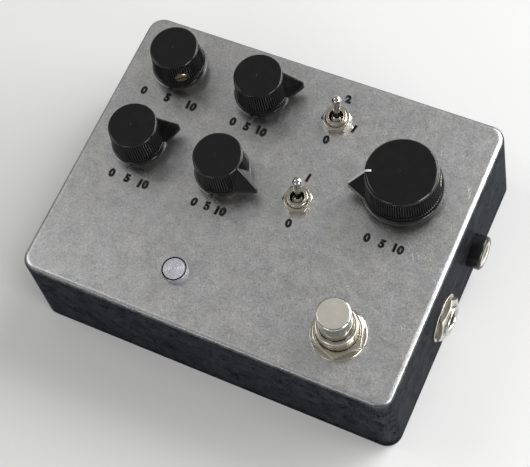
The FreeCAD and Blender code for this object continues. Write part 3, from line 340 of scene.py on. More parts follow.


# %% [markdown]
# ## Bare tumbled aluminium
# The box is a raw die casting that was tumbled with grit and left unpainted. Its top is an
# even mid grey with warm and cool clouds, crossed by short scratches, with small bright nicks.
# The tumbling reaches the flat top and the outer edges best, so these are lighter. The side walls
# are painted far darker and bluer than the top: partly a duller casting skin, mostly painted shade
# that stands in for the dark the walls mirror. The mask for them comes from the way a face points.
# Seen at a grazing angle the rough walls stay dark, which is what the specular tint is for.


# %% Tumbled aluminium
def cast_metal(name, top_colour, top_cloud, shaded_wall_colour, shaded_wall_cloud):
    """Raw cast aluminium: cloudy, scratched and pitted, polished along its edges, with painted shade on its
    walls.
    """
    shader, place = start_finish(name, Metallic=1.0, Specular_Tint=(0.255, 0.263, 0.28))
    broad = use(cloudy, Place=place, Size=5.0, Roughness=0.62)
    fine = use(cloudy, Place=place, Size=0.55, Roughness=0.7)
    middling = use(cloudy, Place=place, Size=1.7, Roughness=0.65)
    blend = plus(times(broad, 0.25), times(middling, 0.2))
    blend = ramp(plus(blend, times(fine, 0.55)), 0.25, 0.75)
    grit = use(cloudy, Place=place, Size=0.36, Roughness=0.85)
    scratch = use(scratched, Place=place, Length=2.4, Gap=0.45, Width=0.03, Cover=0.47)
    deep = use(scratched, Place=place, Length=9.0, Gap=1.6, Width=0.012, Cover=0.42)
    nick = use(specks, Place=place, Spacing=1.3, Size=0.15, Share=0.3)
    stain = use(specks, Place=place, Spacing=1.0, Size=0.2, Share=0.25)
    tint = ramp(use(cloudy, Place=place, Size=11.0, Roughness=0.55), 0.25, 0.75)
    pit = use(specks, Place=place, Spacing=0.5, Size=0.3, Share=0.3)
    facing = upright(wire("TexCoord", {}, out="Normal", tree=shader.id_data))
    # Painted shade: faces that point more sideways than up, the walls and the lower part of each rounded
    # edge, take the dark wall colours.
    upward = ramp(facing, 0.66, 0.9)
    edge = times(use(worn, shader.id_data, Reach=0.0006), ramp(upright(place), 4.0, 7.0))
    edge = times(edge, ramp(facing, 0.6, 0.8))
    warmth = mix_colours(tint, (0.96, 0.97, 1.0), (1.0, 0.995, 0.985))
    top = mix_colours(1.0, mix_colours(blend, top_colour, top_cloud), warmth, "MULTIPLY")
    colour = mix_colours(upward, mix_colours(blend, shaded_wall_colour, shaded_wall_cloud), top)
    # Scratches, nicks and stains are painted paler on the top and darker on the walls, the same painted
    # shade.
    bright = mix_colours(upward, (0.42, 0.42, 0.43), (0.97, 0.965, 0.95))
    dark = mix_colours(upward, (0.03, 0.03, 0.033), (0.24, 0.25, 0.27))
    for mask, over in ((times(scratch, 0.3), bright), (times(deep, 0.3), (0.16, 0.16, 0.17)),
                       (ramp(grit, 0.55, 1.0, 0.0, 0.8), dark),
                       (ramp(grit, 0.42, 0.0, 0.0, 0.7), bright),
                       (times(stain, 0.7), dark), (nick, bright),
                       (times(edge, 0.5), (0.85, 0.85, 0.85))):
        colour = mix_colours(mask, colour, over)
    rough = plus(ramp(blend, 0.0, 1.0, 0.30, 0.38), times(edge, -0.1))
    grooves = plus(times(scratch, 0.2), times(deep, 0.6))
    height = minus(times(fine, 0.5), times(pit, 0.35))
    height = minus(plus(height, times(grit, 0.3)), grooves)
    height = times(height, ramp(upward, 0.0, 1.0, 0.4, 1.0))
    feed(shader, colour, rough, height, depth=0.02, strength=0.8)


# The last two colours of each row are the walls: painted shade, far darker than the top.
make_each(cast_metal, {
    "tumbled_aluminium": ((0.54, 0.54, 0.54), (0.84, 0.84, 0.83), (0.03, 0.031, 0.034), (0.15, 0.153, 0.16)),
    "plate_aluminium": ((0.48, 0.48, 0.48), (0.70, 0.70, 0.69), (0.035, 0.036, 0.039), (0.10, 0.103, 0.11)),
})

# %% [markdown]
# ## Plated and turned metal
# Nickel has a warm, slightly yellow grey, chrome is cooler and brighter, brass is yellow, and
# steel and tinned copper are duller. On the real parts they differ in colour, in how sharp the
# reflection is, and in how scratched they are, so one recipe with five values makes all.


# %% Plated metal
def plated_metal(name, colour, dull_colour, gloss, dulled, scratches=0.25):
    """Smooth metal with faint smears, hair scratches and brighter edges."""
    shader, place = start_finish(name, Metallic=1.0)
    smear = use(cloudy, Place=place, Size=2.2, Roughness=0.5)
    grain = use(cloudy, Place=place, Size=0.12, Roughness=0.6)
    scratch = use(scratched, Place=place, Length=2.5, Gap=0.3, Width=0.02, Cover=0.45)
    edge = use(worn, shader.id_data, Reach=0.0002)
    skin = mix_colours(smear, colour, dull_colour)
    skin = mix_colours(times(edge, 0.5), skin, (0.92, 0.9, 0.86))
    skin = mix_colours(times(scratch, scratches), skin, dull_colour)
    rough = plus(ramp(smear, 0.0, 1.0, gloss, dulled), times(scratch, 0.1))
    height = minus(times(grain, 0.3), times(scratch, 0.6))
    feed(shader, skin, rough, height, depth=0.0012, strength=0.4)


make_each(plated_metal, {
    "nickel": ((0.70, 0.665, 0.58), (0.56, 0.53, 0.45), 0.16, 0.26, 0.15),
    "satin_nickel": ((0.84, 0.81, 0.74), (0.74, 0.71, 0.64), 0.38, 0.46),
    "dull_nickel": ((0.74, 0.70, 0.62), (0.56, 0.53, 0.46), 0.26, 0.38),
    "chrome": ((0.62, 0.61, 0.58), (0.50, 0.49, 0.46), 0.06, 0.12),
    "brass": ((0.50, 0.42, 0.26), (0.30, 0.25, 0.15), 0.26, 0.42, 0.4),
    "screw_steel": ((0.42, 0.42, 0.42), (0.28, 0.28, 0.29), 0.25, 0.4, 0.4),
    "spring_steel": ((0.40, 0.39, 0.38), (0.28, 0.27, 0.26), 0.3, 0.45),
    "shaft_aluminium": ((0.62, 0.62, 0.62), (0.5, 0.5, 0.5), 0.28, 0.4, 0.3),
    "pot_shell": ((0.55, 0.55, 0.53), (0.42, 0.42, 0.40), 0.25, 0.42, 0.3),
    "tinned_copper": ((0.66, 0.65, 0.62), (0.5, 0.48, 0.44), 0.3, 0.5),
})

# %% [markdown]
# ## Moulded plastics and paint
# The knobs are a hard, dark phenolic moulding with a polished skin. The housings are a duller
# nylon. A plastic's colour is nearly even, so the detail is in its gloss: faint flow clouds,
# rubbed edges that turn grey, a few hair scratches and pale dust.


# %% Moulded plastic
def moulded(name, colour, rubbed, gloss, dulled, dust=0.0, shine=0.5):
    """Hard plastic: an even colour, a cloudy gloss, rubbed edges and a little dust."""
    shader, place = start_finish(name, Specular_IOR_Level=shine)
    flow = use(cloudy, Place=place, Size=3.0, Roughness=0.55)
    grain = use(cloudy, Place=place, Size=0.15, Roughness=0.6)
    scratch = use(scratched, Place=place, Length=3.0, Gap=0.5, Width=0.014, Cover=0.36)
    grit = use(specks, Place=place, Spacing=1.1, Size=0.07, Share=0.3)
    edge = use(worn, shader.id_data, Reach=0.00018, Start=0.02)
    skin = mix_colours(times(flow, 0.25), colour, rubbed)
    skin = mix_colours(times(edge, 0.35), skin, rubbed)
    skin = mix_colours(times(grit, dust), skin, (0.35, 0.34, 0.32))
    rough = plus(ramp(flow, 0.0, 1.0, gloss, dulled), times(scratch, 0.12))
    feed(shader, skin, rough, minus(grain, scratch), depth=0.004, strength=0.6)


make_each(moulded, {
    "black_phenolic": ((0.004, 0.004, 0.0045), (0.016, 0.016, 0.017), 0.10, 0.18, 0.1, 0.45),
    "black_plastic": ((0.005, 0.005, 0.0055), (0.02, 0.02, 0.021), 0.16, 0.26, 0.1),
    "switch_plastic": ((0.25, 0.02, 0.018), (0.32, 0.05, 0.04), 0.35, 0.5),
    "chip_plastic": ((0.012, 0.012, 0.013), (0.04, 0.04, 0.042), 0.45, 0.6),
    "capacitor_sleeve": ((0.012, 0.016, 0.05), (0.03, 0.04, 0.1), 0.3, 0.4),
    "resistor_body": ((0.50, 0.36, 0.22), (0.60, 0.46, 0.30), 0.4, 0.55),
    "wire_insulation": ((0.35, 0.02, 0.015), (0.45, 0.06, 0.04), 0.4, 0.5),
    "board_green": ((0.01, 0.09, 0.03), (0.03, 0.16, 0.07), 0.28, 0.4),
    "stamp_ink": ((0.006, 0.006, 0.007), (0.03, 0.03, 0.03), 0.35, 0.5),
    "pointer_paint": ((0.80, 0.80, 0.82), (0.62, 0.62, 0.64), 0.35, 0.45),
})

# %% [markdown]
# ## Clear plastic
# The indicator has a clear moulded lens over a clear lamp. Clear acrylic is a transmissive
# shader with the index of refraction of acrylic; a slight frost in the moulding spreads the
# light, which is why the lens looks silvery and not like a dark hole.

# %% Clear lens
ACRYLIC_INDEX = 1.49
RIM_INNER, RIM_OUTER, RIM_BLUR = 3.28, 3.58, 0.1


def clear_moulding(name, colour, clouded, low_frost, high_frost, passing, middle=None):
    """Clear acrylic; round a middle, the rim is painted darker, with a near-black ring for the dark inside of
    the box seen through it.
    """
    shader, place = start_finish(name, IOR=ACRYLIC_INDEX, Transmission_Weight=passing)
    haze = use(cloudy, Place=place, Size=1.2, Roughness=0.5)
    grit = use(specks, Place=place, Spacing=0.9, Size=0.08, Share=0.25)
    skin = mix_colours(haze, colour, clouded)
    if middle is not None:
        flat = wire("VectorMath", {0: place, 1: (1, 1, 0)}, operation="MULTIPLY")
        reach = wire("VectorMath", {0: flat, 1: (middle.x / MM, middle.y / MM, 0)},
                     out="Value", operation="DISTANCE")
        # Painted shade: the rim past RIM_INNER is painted a darker grey, and the ring out to RIM_OUTER near
        # black.
        shaded_rim = ramp(reach, RIM_INNER - RIM_BLUR, RIM_INNER)
        before = ramp(reach, RIM_OUTER + RIM_BLUR, RIM_OUTER)
        skin = mix_colours(shaded_rim, skin, (0.34, 0.34, 0.37))
        skin = mix_colours(times(shaded_rim, before), skin, (0.012, 0.012, 0.015))
    rough = plus(ramp(haze, 0.0, 1.0, low_frost, high_frost), times(grit, 0.3))
    feed(shader, skin, rough, haze, depth=0.004, strength=0.3)


lens_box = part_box("lamp_lens")
make_each(clear_moulding, {
    "clear_lens": ((0.74, 0.73, 0.79), (0.60, 0.59, 0.64), 0.12, 0.24, 0.3, (lens_box[0] + lens_box[1]) / 2),
    "clear_lamp": ((0.95, 0.95, 0.97), (0.88, 0.88, 0.92), 0.04, 0.1, 0.85),
})

# %% [markdown]
# ## Workshop helpers
# New pieces are modelled as by hand: start a primitive, open it in edit mode, select faces or
# points by where they are, and shape them. A few moves come back for every piece, so they get
# short names: take a piece up, open and close it, pick points, cut one piece with another, and
# give a finished piece its smooth shading, its finish, and the CAD body it rides on.

# %% Take up, open, pick, close
FINE_GAP, WELD_GAP = 0.0005, 0.002


def take_up(*pieces):
    """Selects only these pieces; the first of them is the active one."""
    bpy.ops.object.select_all(action="DESELECT")
    for piece in pieces:
        piece.select_set(True)
    bpy.context.view_layer.objects.active = pieces[0]


def keep_place():
    """Writes the place, turn and size of what is selected into its mesh."""
    bpy.ops.object.transform_apply(location=True, rotation=True, scale=True)


def start_from(primitive, name, **sizes):
    """A new named piece from a primitive, with its place and turn kept in its mesh."""
    getattr(bpy.ops.mesh, "primitive_" + primitive + "_add")(**sizes)
    piece = bpy.context.object
    piece.name = piece.data.name = name
    keep_place()
    return piece


def open_mesh(piece):
    take_up(piece)
    bpy.ops.object.mode_set(mode="EDIT")


def close_mesh():
    bpy.ops.object.mode_set(mode="OBJECT")


def pick_all():
    bpy.ops.mesh.select_all(action="SELECT")


def face_outwards():
    pick_all()
    bpy.ops.mesh.normals_make_consistent(inside=False)


def pick(piece, kind, wanted):
    """Selects the points or faces of the open mesh that pass the test, and counts them."""
    mesh = bmesh.from_edit_mesh(piece.data)
    bpy.ops.mesh.select_mode(type=kind)
    bpy.ops.mesh.select_all(action="DESELECT")
    parts = mesh.verts if kind == "VERT" else mesh.faces
    for part in parts:
        part.select = bool(wanted(part))
    mesh.select_flush_mode()
    bmesh.update_edit_mesh(piece.data)
    return sum(part.select for part in parts)


def pick_points(piece, wanted):
    """Picks points by their place in millimetres."""
    return pick(piece, "VERT", lambda point: wanted(*(point.co / MM)))


def weld(piece, gap):
    """Merges the points that are closer than the gap in millimetres, and faces outwards."""
    open_mesh(piece)
    pick_all()
    bpy.ops.mesh.remove_doubles(threshold=gap * MM)
    face_outwards()
    close_mesh()


def extrude_along(path):
    """Pulls the picked points or edge along a path of (x, z) points."""
    for (x, z), (next_x, next_z) in zip(path, path[1:]):
        step = ((next_x - x) * MM, 0, (next_z - z) * MM)
        bpy.ops.mesh.extrude_region_move(TRANSFORM_OT_translate={"value": step})


def apply_modifier(piece, kind, **settings):
    """Adds a modifier with its settings and applies it at once."""
    take_up(piece)
    modifier = piece.modifiers.new(kind.lower(), kind)
    for name, value in settings.items():
        setattr(modifier, name, value)
    bpy.ops.object.modifier_apply(modifier=modifier.name)


def cut_with(piece, tool, operation="DIFFERENCE"):
    """Cuts, joins or trims a piece with a tool, and puts the tool away."""
    apply_modifier(piece, "BOOLEAN", operation=operation, object=tool, solver="EXACT")
    bpy.data.objects.remove(tool)


def soften(piece, width, steps=2, angle=30.0):
    """A small bevel along every edge sharper than the angle."""
    apply_modifier(piece, "BEVEL", width=width * MM, segments=steps, limit_method="ANGLE",
                   angle_limit=math.radians(angle), use_clamp_overlap=True)


def join(name, pieces):
    """Makes one named piece of several."""
    take_up(*pieces)
    bpy.ops.object.join()
    pieces[0].name = name
    return pieces[0]


def set_in_place(piece, place=(0, 0, 0), turn=(0, 0, 0)):
    """Moves a piece built at the origin to its place, and keeps that place in its mesh."""
    take_up(piece)
    piece.rotation_euler = turn
    piece.location = Vector(place)
    keep_place()


def finish_piece(piece, slot, replaced=(), body="case", finish=None, angle=32.0):
    """Smooth shading, a finish if it has none, a body to ride on, and the nodes it stands for."""
    assert piece.data.polygons, piece.name + " has no faces"
    take_up(piece)
    bpy.ops.object.shade_smooth_by_angle(angle=math.radians(angle))
    apply_modifier(piece, "WEIGHTED_NORMAL", keep_sharp=True)
    if not any(piece.data.materials):
        piece.data.materials.clear()
        piece.data.materials.append(FINISHES[finish or slot])
    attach(piece, body)
    if replaced:
        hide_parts(*replaced)
    low, high = ([round(pick_end(v.co[k] for v in piece.data.vertices) / MM, 2) for k in range(3)]
                 for pick_end in (min, max))
    print(piece.name, "faces", len(piece.data.polygons), "from", low, "to", high, "mm")


def copy_of(piece, name):
    """A copy with its own mesh."""
    take_up(piece)
    bpy.ops.object.duplicate(linked=False)
    twin = bpy.context.object
    twin.name = twin.data.name = name
    return twin


def axis_of(node):
    """Where the middle of a CAD node stands on the top panel."""
    low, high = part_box(node)
    return Vector(((low.x + high.x) / 2, (low.y + high.y) / 2, 0.0))


def heights_of(node):
    """The lowest and highest point of a CAD node, in millimetres."""
    return [corner.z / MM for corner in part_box(node)]


# %% Turn a section on the lathe
def turn_on_lathe(name, section, rounding=None, steps=64):
    """Draws half a section as (radius, height) points, rounds corners, and spins it round Z."""
    piece = start_from("plane", name, size=MM)
    bpy.ops.object.mode_set(mode="EDIT")
    bpy.ops.mesh.select_mode(type="VERT")
    bpy.ops.mesh.merge(type="CENTER")
    bpy.ops.transform.translate(value=(section[0][0] * MM, 0, section[0][1] * MM))
    extrude_along(section)
    for corner, radius in (rounding or {}).items():
        near = Vector((section[corner][0], 0, section[corner][1]))
        pick_points(piece, lambda x, y, z: (Vector((x, y, z)) - near).length < WELD_GAP)
        bpy.ops.mesh.bevel(offset=radius * MM, segments=5, affect="VERTICES")
    pick_all()
    bpy.ops.mesh.spin(steps=steps, angle=math.tau, center=(0, 0, 0), axis=(0, 0, 1))
    close_mesh()
    weld(piece, FINE_GAP)
    return piece


# %% [markdown]
# ## The die-cast box
# The CAD box has the right draft, corners, rounding and holes, so its mesh is copied rather
# than drawn again. A CAD node is loose triangles and stays as it is; the copy is merged first
# so that it is one closed surface. Into that copy the numbers are stamped: each one is a text
# object made into a solid punch with sloping sides, sunk a fifth of a millimetre into the top
# and cut away. The punch carries the ink's material, so the cut's walls come out inked.

# %% Copy the box
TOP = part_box("enclosure_body")[1].z
die_cast_box = copy_of(frame["nodes"]["enclosure_body"], "die_cast_box")
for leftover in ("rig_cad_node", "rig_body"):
    if leftover in die_cast_box:
        del die_cast_box[leftover]
die_cast_box.parent = None
weld(die_cast_box, FINE_GAP)
die_cast_box.data.materials.clear()
die_cast_box.data.materials.append(FINISHES["tumbled_aluminium"])
print("box copied", len(die_cast_box.data.vertices), "points")

# %% Stamp the numbers
# Plain dial numbers stand under each knob, and the switch positions are counted 2, 1, 0 and
# 1, 0. Each punch was struck by hand, so no two stand quite in line. A number is cut twice:
# a wide, shallow cut leaves the bright sloping rim that a steel punch raises, and a narrower,
# deeper one holds the ink. A dial's marks are given as the middle's place and their reach to
# each side, and a switch's marks as number, place and lean in degrees.
NUMBER_HEIGHT = 2.35
HEIGHT_OF_TYPE = 0.7      # a number's height as a share of the type's size
STROKE_GAIN = 0.17
STAMP_DEPTH = 0.22
RIM_DEPTH, RIM_WIDTH = 0.01, 0.09
DIGIT_GAP = 0.9           # from the middle of the 10 to each of its digits
DIAL_MARKS = {"volume": (-41.3, 19.9, 8.0), "feedback": (-14.2, 19.5, 4.6), "tone": (-40.5, -9.0, 5.2),
              "mix": (-14.0, -8.6, 4.2), "time": (38.05, -0.9, 4.7)}
SWITCH_MARKS = [("2", 10.7, 38.5, 4), ("1", 16.2, 30.1, -6), ("0", 9.9, 23.8, 5), ("1", 10.0, 10.5, -4),
                ("0", 10.6, -5.0, 7)]
HAND_WOBBLE = (3.0, -4.0, 1.5, -2.0, 5.0, -3.5, 2.0)


def number_punch(number, x, y, lean, rim):
    """A solid in the shape of a number; with a rim, it is wider and has sloping sides."""
    bpy.ops.object.text_add()
    letter = bpy.context.object.data
    letter.body = number
    letter.align_x = letter.align_y = "CENTER"
    letter.resolution_u = 4
    letter.size = NUMBER_HEIGHT / HEIGHT_OF_TYPE * MM
    letter.offset = STROKE_GAIN * MM
    letter.extrude = (RIM_DEPTH if rim else STAMP_DEPTH) * MM
    letter.bevel_depth = RIM_WIDTH * MM if rim else 0.0
    letter.bevel_resolution = 0
    bpy.ops.object.convert(target="MESH")
    punch = bpy.context.object
    weld(punch, WELD_GAP)
    set_in_place(punch, (x * MM, y * MM, TOP), (0, 0, math.radians(lean)))
    punch.data.materials.clear()
    punch.data.materials.append(FINISHES["tumbled_aluminium" if rim else "stamp_ink"])
    return punch


marks = list(SWITCH_MARKS)
for x, y, reach in DIAL_MARKS.values():
    for number, shift in (("0", -reach), ("5", 0.0), ("1", reach - DIGIT_GAP), ("0", reach + DIGIT_GAP)):
        marks.append((number, x + shift, y, 0.0))
die_cast_box.data.materials.append(FINISHES["stamp_ink"])
for rim in (True, False):
    punches = []
    for count, (number, x, y, lean) in enumerate(marks):
        wobble = HAND_WOBBLE[count % len(HAND_WOBBLE)]
        punches.append(number_punch(number, x, y + 0.03 * wobble, lean + wobble, rim))
    cut_with(die_cast_box, join("punches", punches))
finish_piece(die_cast_box, "tumbled_aluminium", ["enclosure_body"])
print("numbers stamped", len(marks), "slots", [m.name for m in die_cast_box.data.materials])

# %% [markdown]
# ## Ribbed pointer knobs
# Each knob is one phenolic moulding: a round skirt, a band of fine ribs that narrows upwards,
# a smooth rounded crown, and a wedge that falls from the crown to a pointed tip. The round part
# is a section spun on the lathe with four steps to a rib; the points in the valleys are then
# pulled in towards the axis. The wedge starts as a cube whose corners are moved, and is joined
# on by a boolean, so that the knob stays one closed skin. The four small knobs are the same
# moulding, so it is modelled once and copied; the large one has its own sizes.

# %% Knob sizes
KNOB_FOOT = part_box("knob_time")[0].z
KNOB_TALL = (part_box("knob_time")[1].z - KNOB_FOOT) / MM
SMALL = {"top": 7.3, "band": 7.95, "skirt": 8.35, "tip": 12.7, "ribs": 64, "shoulder": 0.55,
         "opening": 33.0, "spread": 6.6}
LARGE = {"top": 10.5, "band": 11.4, "skirt": 12.0, "tip": 15.7, "ribs": 96, "shoulder": 1.0,
         "opening": 40.0, "spread": 9.6}
POINTERS = {"volume": 126.0, "feedback": 30.0, "tone": 40.0, "mix": -12.0, "time": -160.0}
STEPS_PER_RIB = 4
RIB_DEPTH = 0.42
SKIRT_TALL = 2.0
BAND_FOOT = 2.35
BORE, BORE_ROOF = 4.65, 8.65
RECESS, RECESS_ROOF = 6.3, 1.2
SCREW_LEVEL, SCREW_RADIUS, SCREW_ROOM = 4.9, 2.0, 0.05
DRILL_LONG, DRILL_BACK = 12.0, 9.0


def band_top(size):
    return KNOB_TALL - size["shoulder"] - 0.1


def put_on_shaft(piece, name):
    """Turns a part of a knob to its pointer's angle and sets it on its shaft."""
    place = axis_of("shaft_" + name)
    set_in_place(piece, (place.x, place.y, KNOB_FOOT), (0, 0, math.radians(POINTERS[name])))


# %% Round part of a knob
def knob_round(name, size):
    """Skirt, band and crown, with the recess and bore underneath."""
    top, band, skirt = size["top"], size["band"], size["skirt"]
    high = band_top(size)
    section = [(0.0, BORE_ROOF), (BORE, BORE_ROOF), (BORE, RECESS_ROOF), (RECESS, RECESS_ROOF),
               (RECESS, 0.0), (skirt, 0.0), (skirt, SKIRT_TALL), (band - 0.15, SKIRT_TALL),
               (band - 0.12, BAND_FOOT)]
    slope = (top - band) / (high - BAND_FOOT)
    for height in (BAND_FOOT + 0.12, BAND_FOOT + 0.3, high - 0.2, high - 0.05):
        section.append((band + slope * (height - BAND_FOOT), height))
    section += [(top - 0.02, high), (top - 0.02, KNOB_TALL), (0.5, KNOB_TALL), (0.45, KNOB_TALL - 0.08),
                (0.0, KNOB_TALL - 0.1)]
    crown = len(section) - 4
    return turn_on_lathe(name, section, {crown: size["shoulder"], 6: 0.5, 5: 0.12},
                         steps=size["ribs"] * STEPS_PER_RIB)


def press_ribs(knob, size):
    """Pulls the valleys between the ribs in towards the axis."""
    open_mesh(knob)
    turns = size["ribs"] * STEPS_PER_RIB
    for step, depth in ((1, 0.35), (2, 1.0), (3, 0.35)):
        def in_valley(x, y, z, step=step):
            on_band = BAND_FOOT + 0.2 < z < band_top(size) - 0.1 and math.hypot(x, y) > size["top"] - 0.4
            return on_band and round(math.atan2(y, x) / math.tau * turns) % STEPS_PER_RIB == step
        count = pick_points(knob, in_valley)
        inward = 1 - RIB_DEPTH * depth / size["band"]
        bpy.ops.transform.resize(value=(inward, inward, 1), center_override=(0, 0, 0))
    close_mesh()
    print(knob.name, "ribs", size["ribs"], "with", count, "points in each row of valleys")


# %% Pointer wedge
HALF_TIP, HALF_RIDGE = 0.32, 0.22
WEDGE_FOOT, TIP_TOP = 0.3, 2.9


def pointer_wedge(size):
    """A cube pulled into a wedge: wide and low at the skirt, a thin ridge above."""
    ridge_top = KNOB_TALL - 0.45 * size["shoulder"]
    inner = size["tip"] - (size["spread"] - HALF_TIP) / math.tan(math.radians(size["opening"]))
    ridge_start = size["top"] - 0.3 * size["shoulder"]
    wedge = start_from("cube", "wedge", size=MM)
    open_mesh(wedge)
    corners = {(1, 1): (size["tip"], HALF_RIDGE, TIP_TOP), (1, 0): (size["tip"], HALF_TIP, WEDGE_FOOT),
               (0, 1): (ridge_start, HALF_RIDGE, ridge_top), (0, 0): (inner, size["spread"], WEDGE_FOOT)}
    for (outer, upper), (x, y, z) in corners.items():
        pick_points(wedge, lambda a, b, c: abs(a - outer + 0.5) < 1e-3 and abs(c - upper + 0.5) < 1e-3)
        bpy.ops.transform.resize(value=(1, 2 * y, 1), center_override=(0, 0, 0))
        bpy.ops.transform.translate(value=((x - outer + 0.5) * MM, 0, (z - upper + 0.5) * MM))
    pick_all()
    bpy.ops.mesh.quads_convert_to_tris(quad_method="BEAUTY")
    face_outwards()
    close_mesh()
    soften(wedge, 0.14, 2, 20.0)
    return wedge


# %% Shape the two patterns
def shape_knob(name, size):
    """One whole knob at the origin, with its pointer and the hole for its set screw."""
    knob = knob_round(name, size)
    press_ribs(knob, size)
    cut_with(knob, pointer_wedge(size), "UNION")
    cut_with(knob, start_from("cylinder", "drill", vertices=32, radius=(SCREW_RADIUS + SCREW_ROOM) * MM,
                              depth=DRILL_LONG * MM, rotation=(0, math.pi / 2, 0),
                              location=(-DRILL_BACK * MM, 0, SCREW_LEVEL * MM)))
    weld(knob, WELD_GAP)
    return knob


small_knob = shape_knob("small_knob", SMALL)
large_knob = shape_knob("large_knob", LARGE)

# %% Put the knobs on their shafts
for name in POINTERS:
    knob = copy_of(large_knob if name == "time" else small_knob, name + "_knob")
    put_on_shaft(knob, name)
    finish_piece(knob, "black_phenolic", ["knob_" + name], name + "_control", angle=28.0)
for pattern in (small_knob, large_knob):
    bpy.data.objects.remove(pattern)

# %% [markdown]
# ## Pointer line on the large knob
# Only the large knob has a white line: paint in a shallow groove that starts on the crown and
# runs down the ridge to the tip. Painted colour could be a mask in the material, but a thin
# solid keeps a crisp border at any distance. It is a strip pulled out in four steps along the
# ridge, given thickness, and bevelled.

# %% White line
LINE_HALF, LINE_PROUD, LINE_THICK = 0.33, 0.1, 0.3
line = start_from("plane", "time_pointer_line", size=MM)
open_mesh(line)
ridge_start = LARGE["top"] - LARGE["shoulder"]
path = [(8.5, KNOB_TALL), (ridge_start, KNOB_TALL), (ridge_start + 0.5, KNOB_TALL - 0.1),
        (ridge_start + 0.95, KNOB_TALL - 0.42), (LARGE["tip"] - 0.12, 3.1)]
pick_points(line, lambda x, y, z: x > 0)
bpy.ops.mesh.delete(type="VERT")
pick_all()
bpy.ops.transform.resize(value=(1, 2 * LINE_HALF, 1), center_override=(0, 0, 0))
bpy.ops.transform.translate(value=((path[0][0] + 0.5) * MM, 0, path[0][1] * MM))
extrude_along(path)
face_outwards()
bpy.ops.transform.translate(value=(0, 0, LINE_PROUD * MM))
close_mesh()
apply_modifier(line, "SOLIDIFY", thickness=LINE_THICK * MM, offset=-1.0)
soften(line, 0.05, 2, 40.0)
put_on_shaft(line, "time")
finish_piece(line, "black_phenolic", body="time_control", finish="pointer_paint")

# %% [markdown]
# ## Slotted set screws
# A brass grub screw in the back of each knob bites on the shaft. It is a short cylinder with a
# chamfered rim and a screwdriver slot. The slot is what tells the eye that it is a screw, so it
# is cut out of the metal rather than painted on.

# %% Set screws
SCREW_START = 3.05
for name in POINTERS:
    size = LARGE if name == "time" else SMALL
    share = (SCREW_LEVEL - BAND_FOOT) / (band_top(size) - BAND_FOOT)
    outer = size["band"] + share * (size["top"] - size["band"]) - 0.25
    screw = turn_on_lathe(name + "_set_screw", [
        (0.0, SCREW_START), (1.4, SCREW_START), (SCREW_RADIUS, SCREW_START + 0.6),
        (SCREW_RADIUS, outer - 0.25), (SCREW_RADIUS - 0.25, outer), (0.0, outer)], steps=32)
    slot_saw = start_from("cube", "slot_saw", size=1, location=(0, 0, outer * MM),
                          scale=(0.7 * MM, 6 * MM, 1.8 * MM))
    cut_with(screw, slot_saw)
    soften(screw, 0.05, 2, 35.0)
    set_in_place(screw, (0, 0, SCREW_LEVEL * MM), (0, -math.pi / 2, 0))
    put_on_shaft(screw, name)
    finish_piece(screw, "brass", ["set_screw_" + name], name + "_control")

# %% [markdown]
# ## Hex nuts
# Every nut on this pedal is pressed and plated: six flats, a cone turned on both faces so that
# only rounded corners are left, and slightly softened edges that catch the light. A cylinder
# with six sides is trimmed by a turned blank for the cones, drilled, and bevelled.


# %% Shape a nut
def hex_nut(name, flats, bore, low, high, turn):
    """A hex nut round Z between two heights, all in millimetres."""
    corner = flats / math.sqrt(3)
    nut = start_from("cylinder", name, vertices=6, radius=corner * MM, depth=(high - low) * MM,
                     location=(0, 0, (low + high) / 2 * MM), rotation=(0, 0, turn + math.pi / 6))
    run = corner - flats / 2 * 0.98
    fall = run * math.tan(math.radians(30))
    cut_with(nut, turn_on_lathe("blank", [
        (0, low), (corner - run, low), (corner + 0.05, low + fall), (corner + 0.05, high - fall),
        (corner - run, high), (0, high)], steps=96), "INTERSECT")
    cut_with(nut, turn_on_lathe("drill", [
        (0, low - 1), (bore + 1.3, low - 1), (bore, low + 0.3), (bore, high - 0.3),
        (bore + 1.3, high + 1), (0, high + 1)], steps=64))
    soften(nut, 0.07, 2, 24.0)
    return nut


# %% Toggle nuts and threaded bushings
def threaded(outer, low, high, pitch, depth):
    """Points down the outside of a thread, crest and root in turn, from high to low."""
    points = []
    height = high
    while height - pitch > low:
        points += [(outer, height - 0.2 * pitch), (outer - depth, height - 0.55 * pitch),
                   (outer - depth, height - 0.65 * pitch), (outer, height - pitch)]
        height -= pitch
    return points


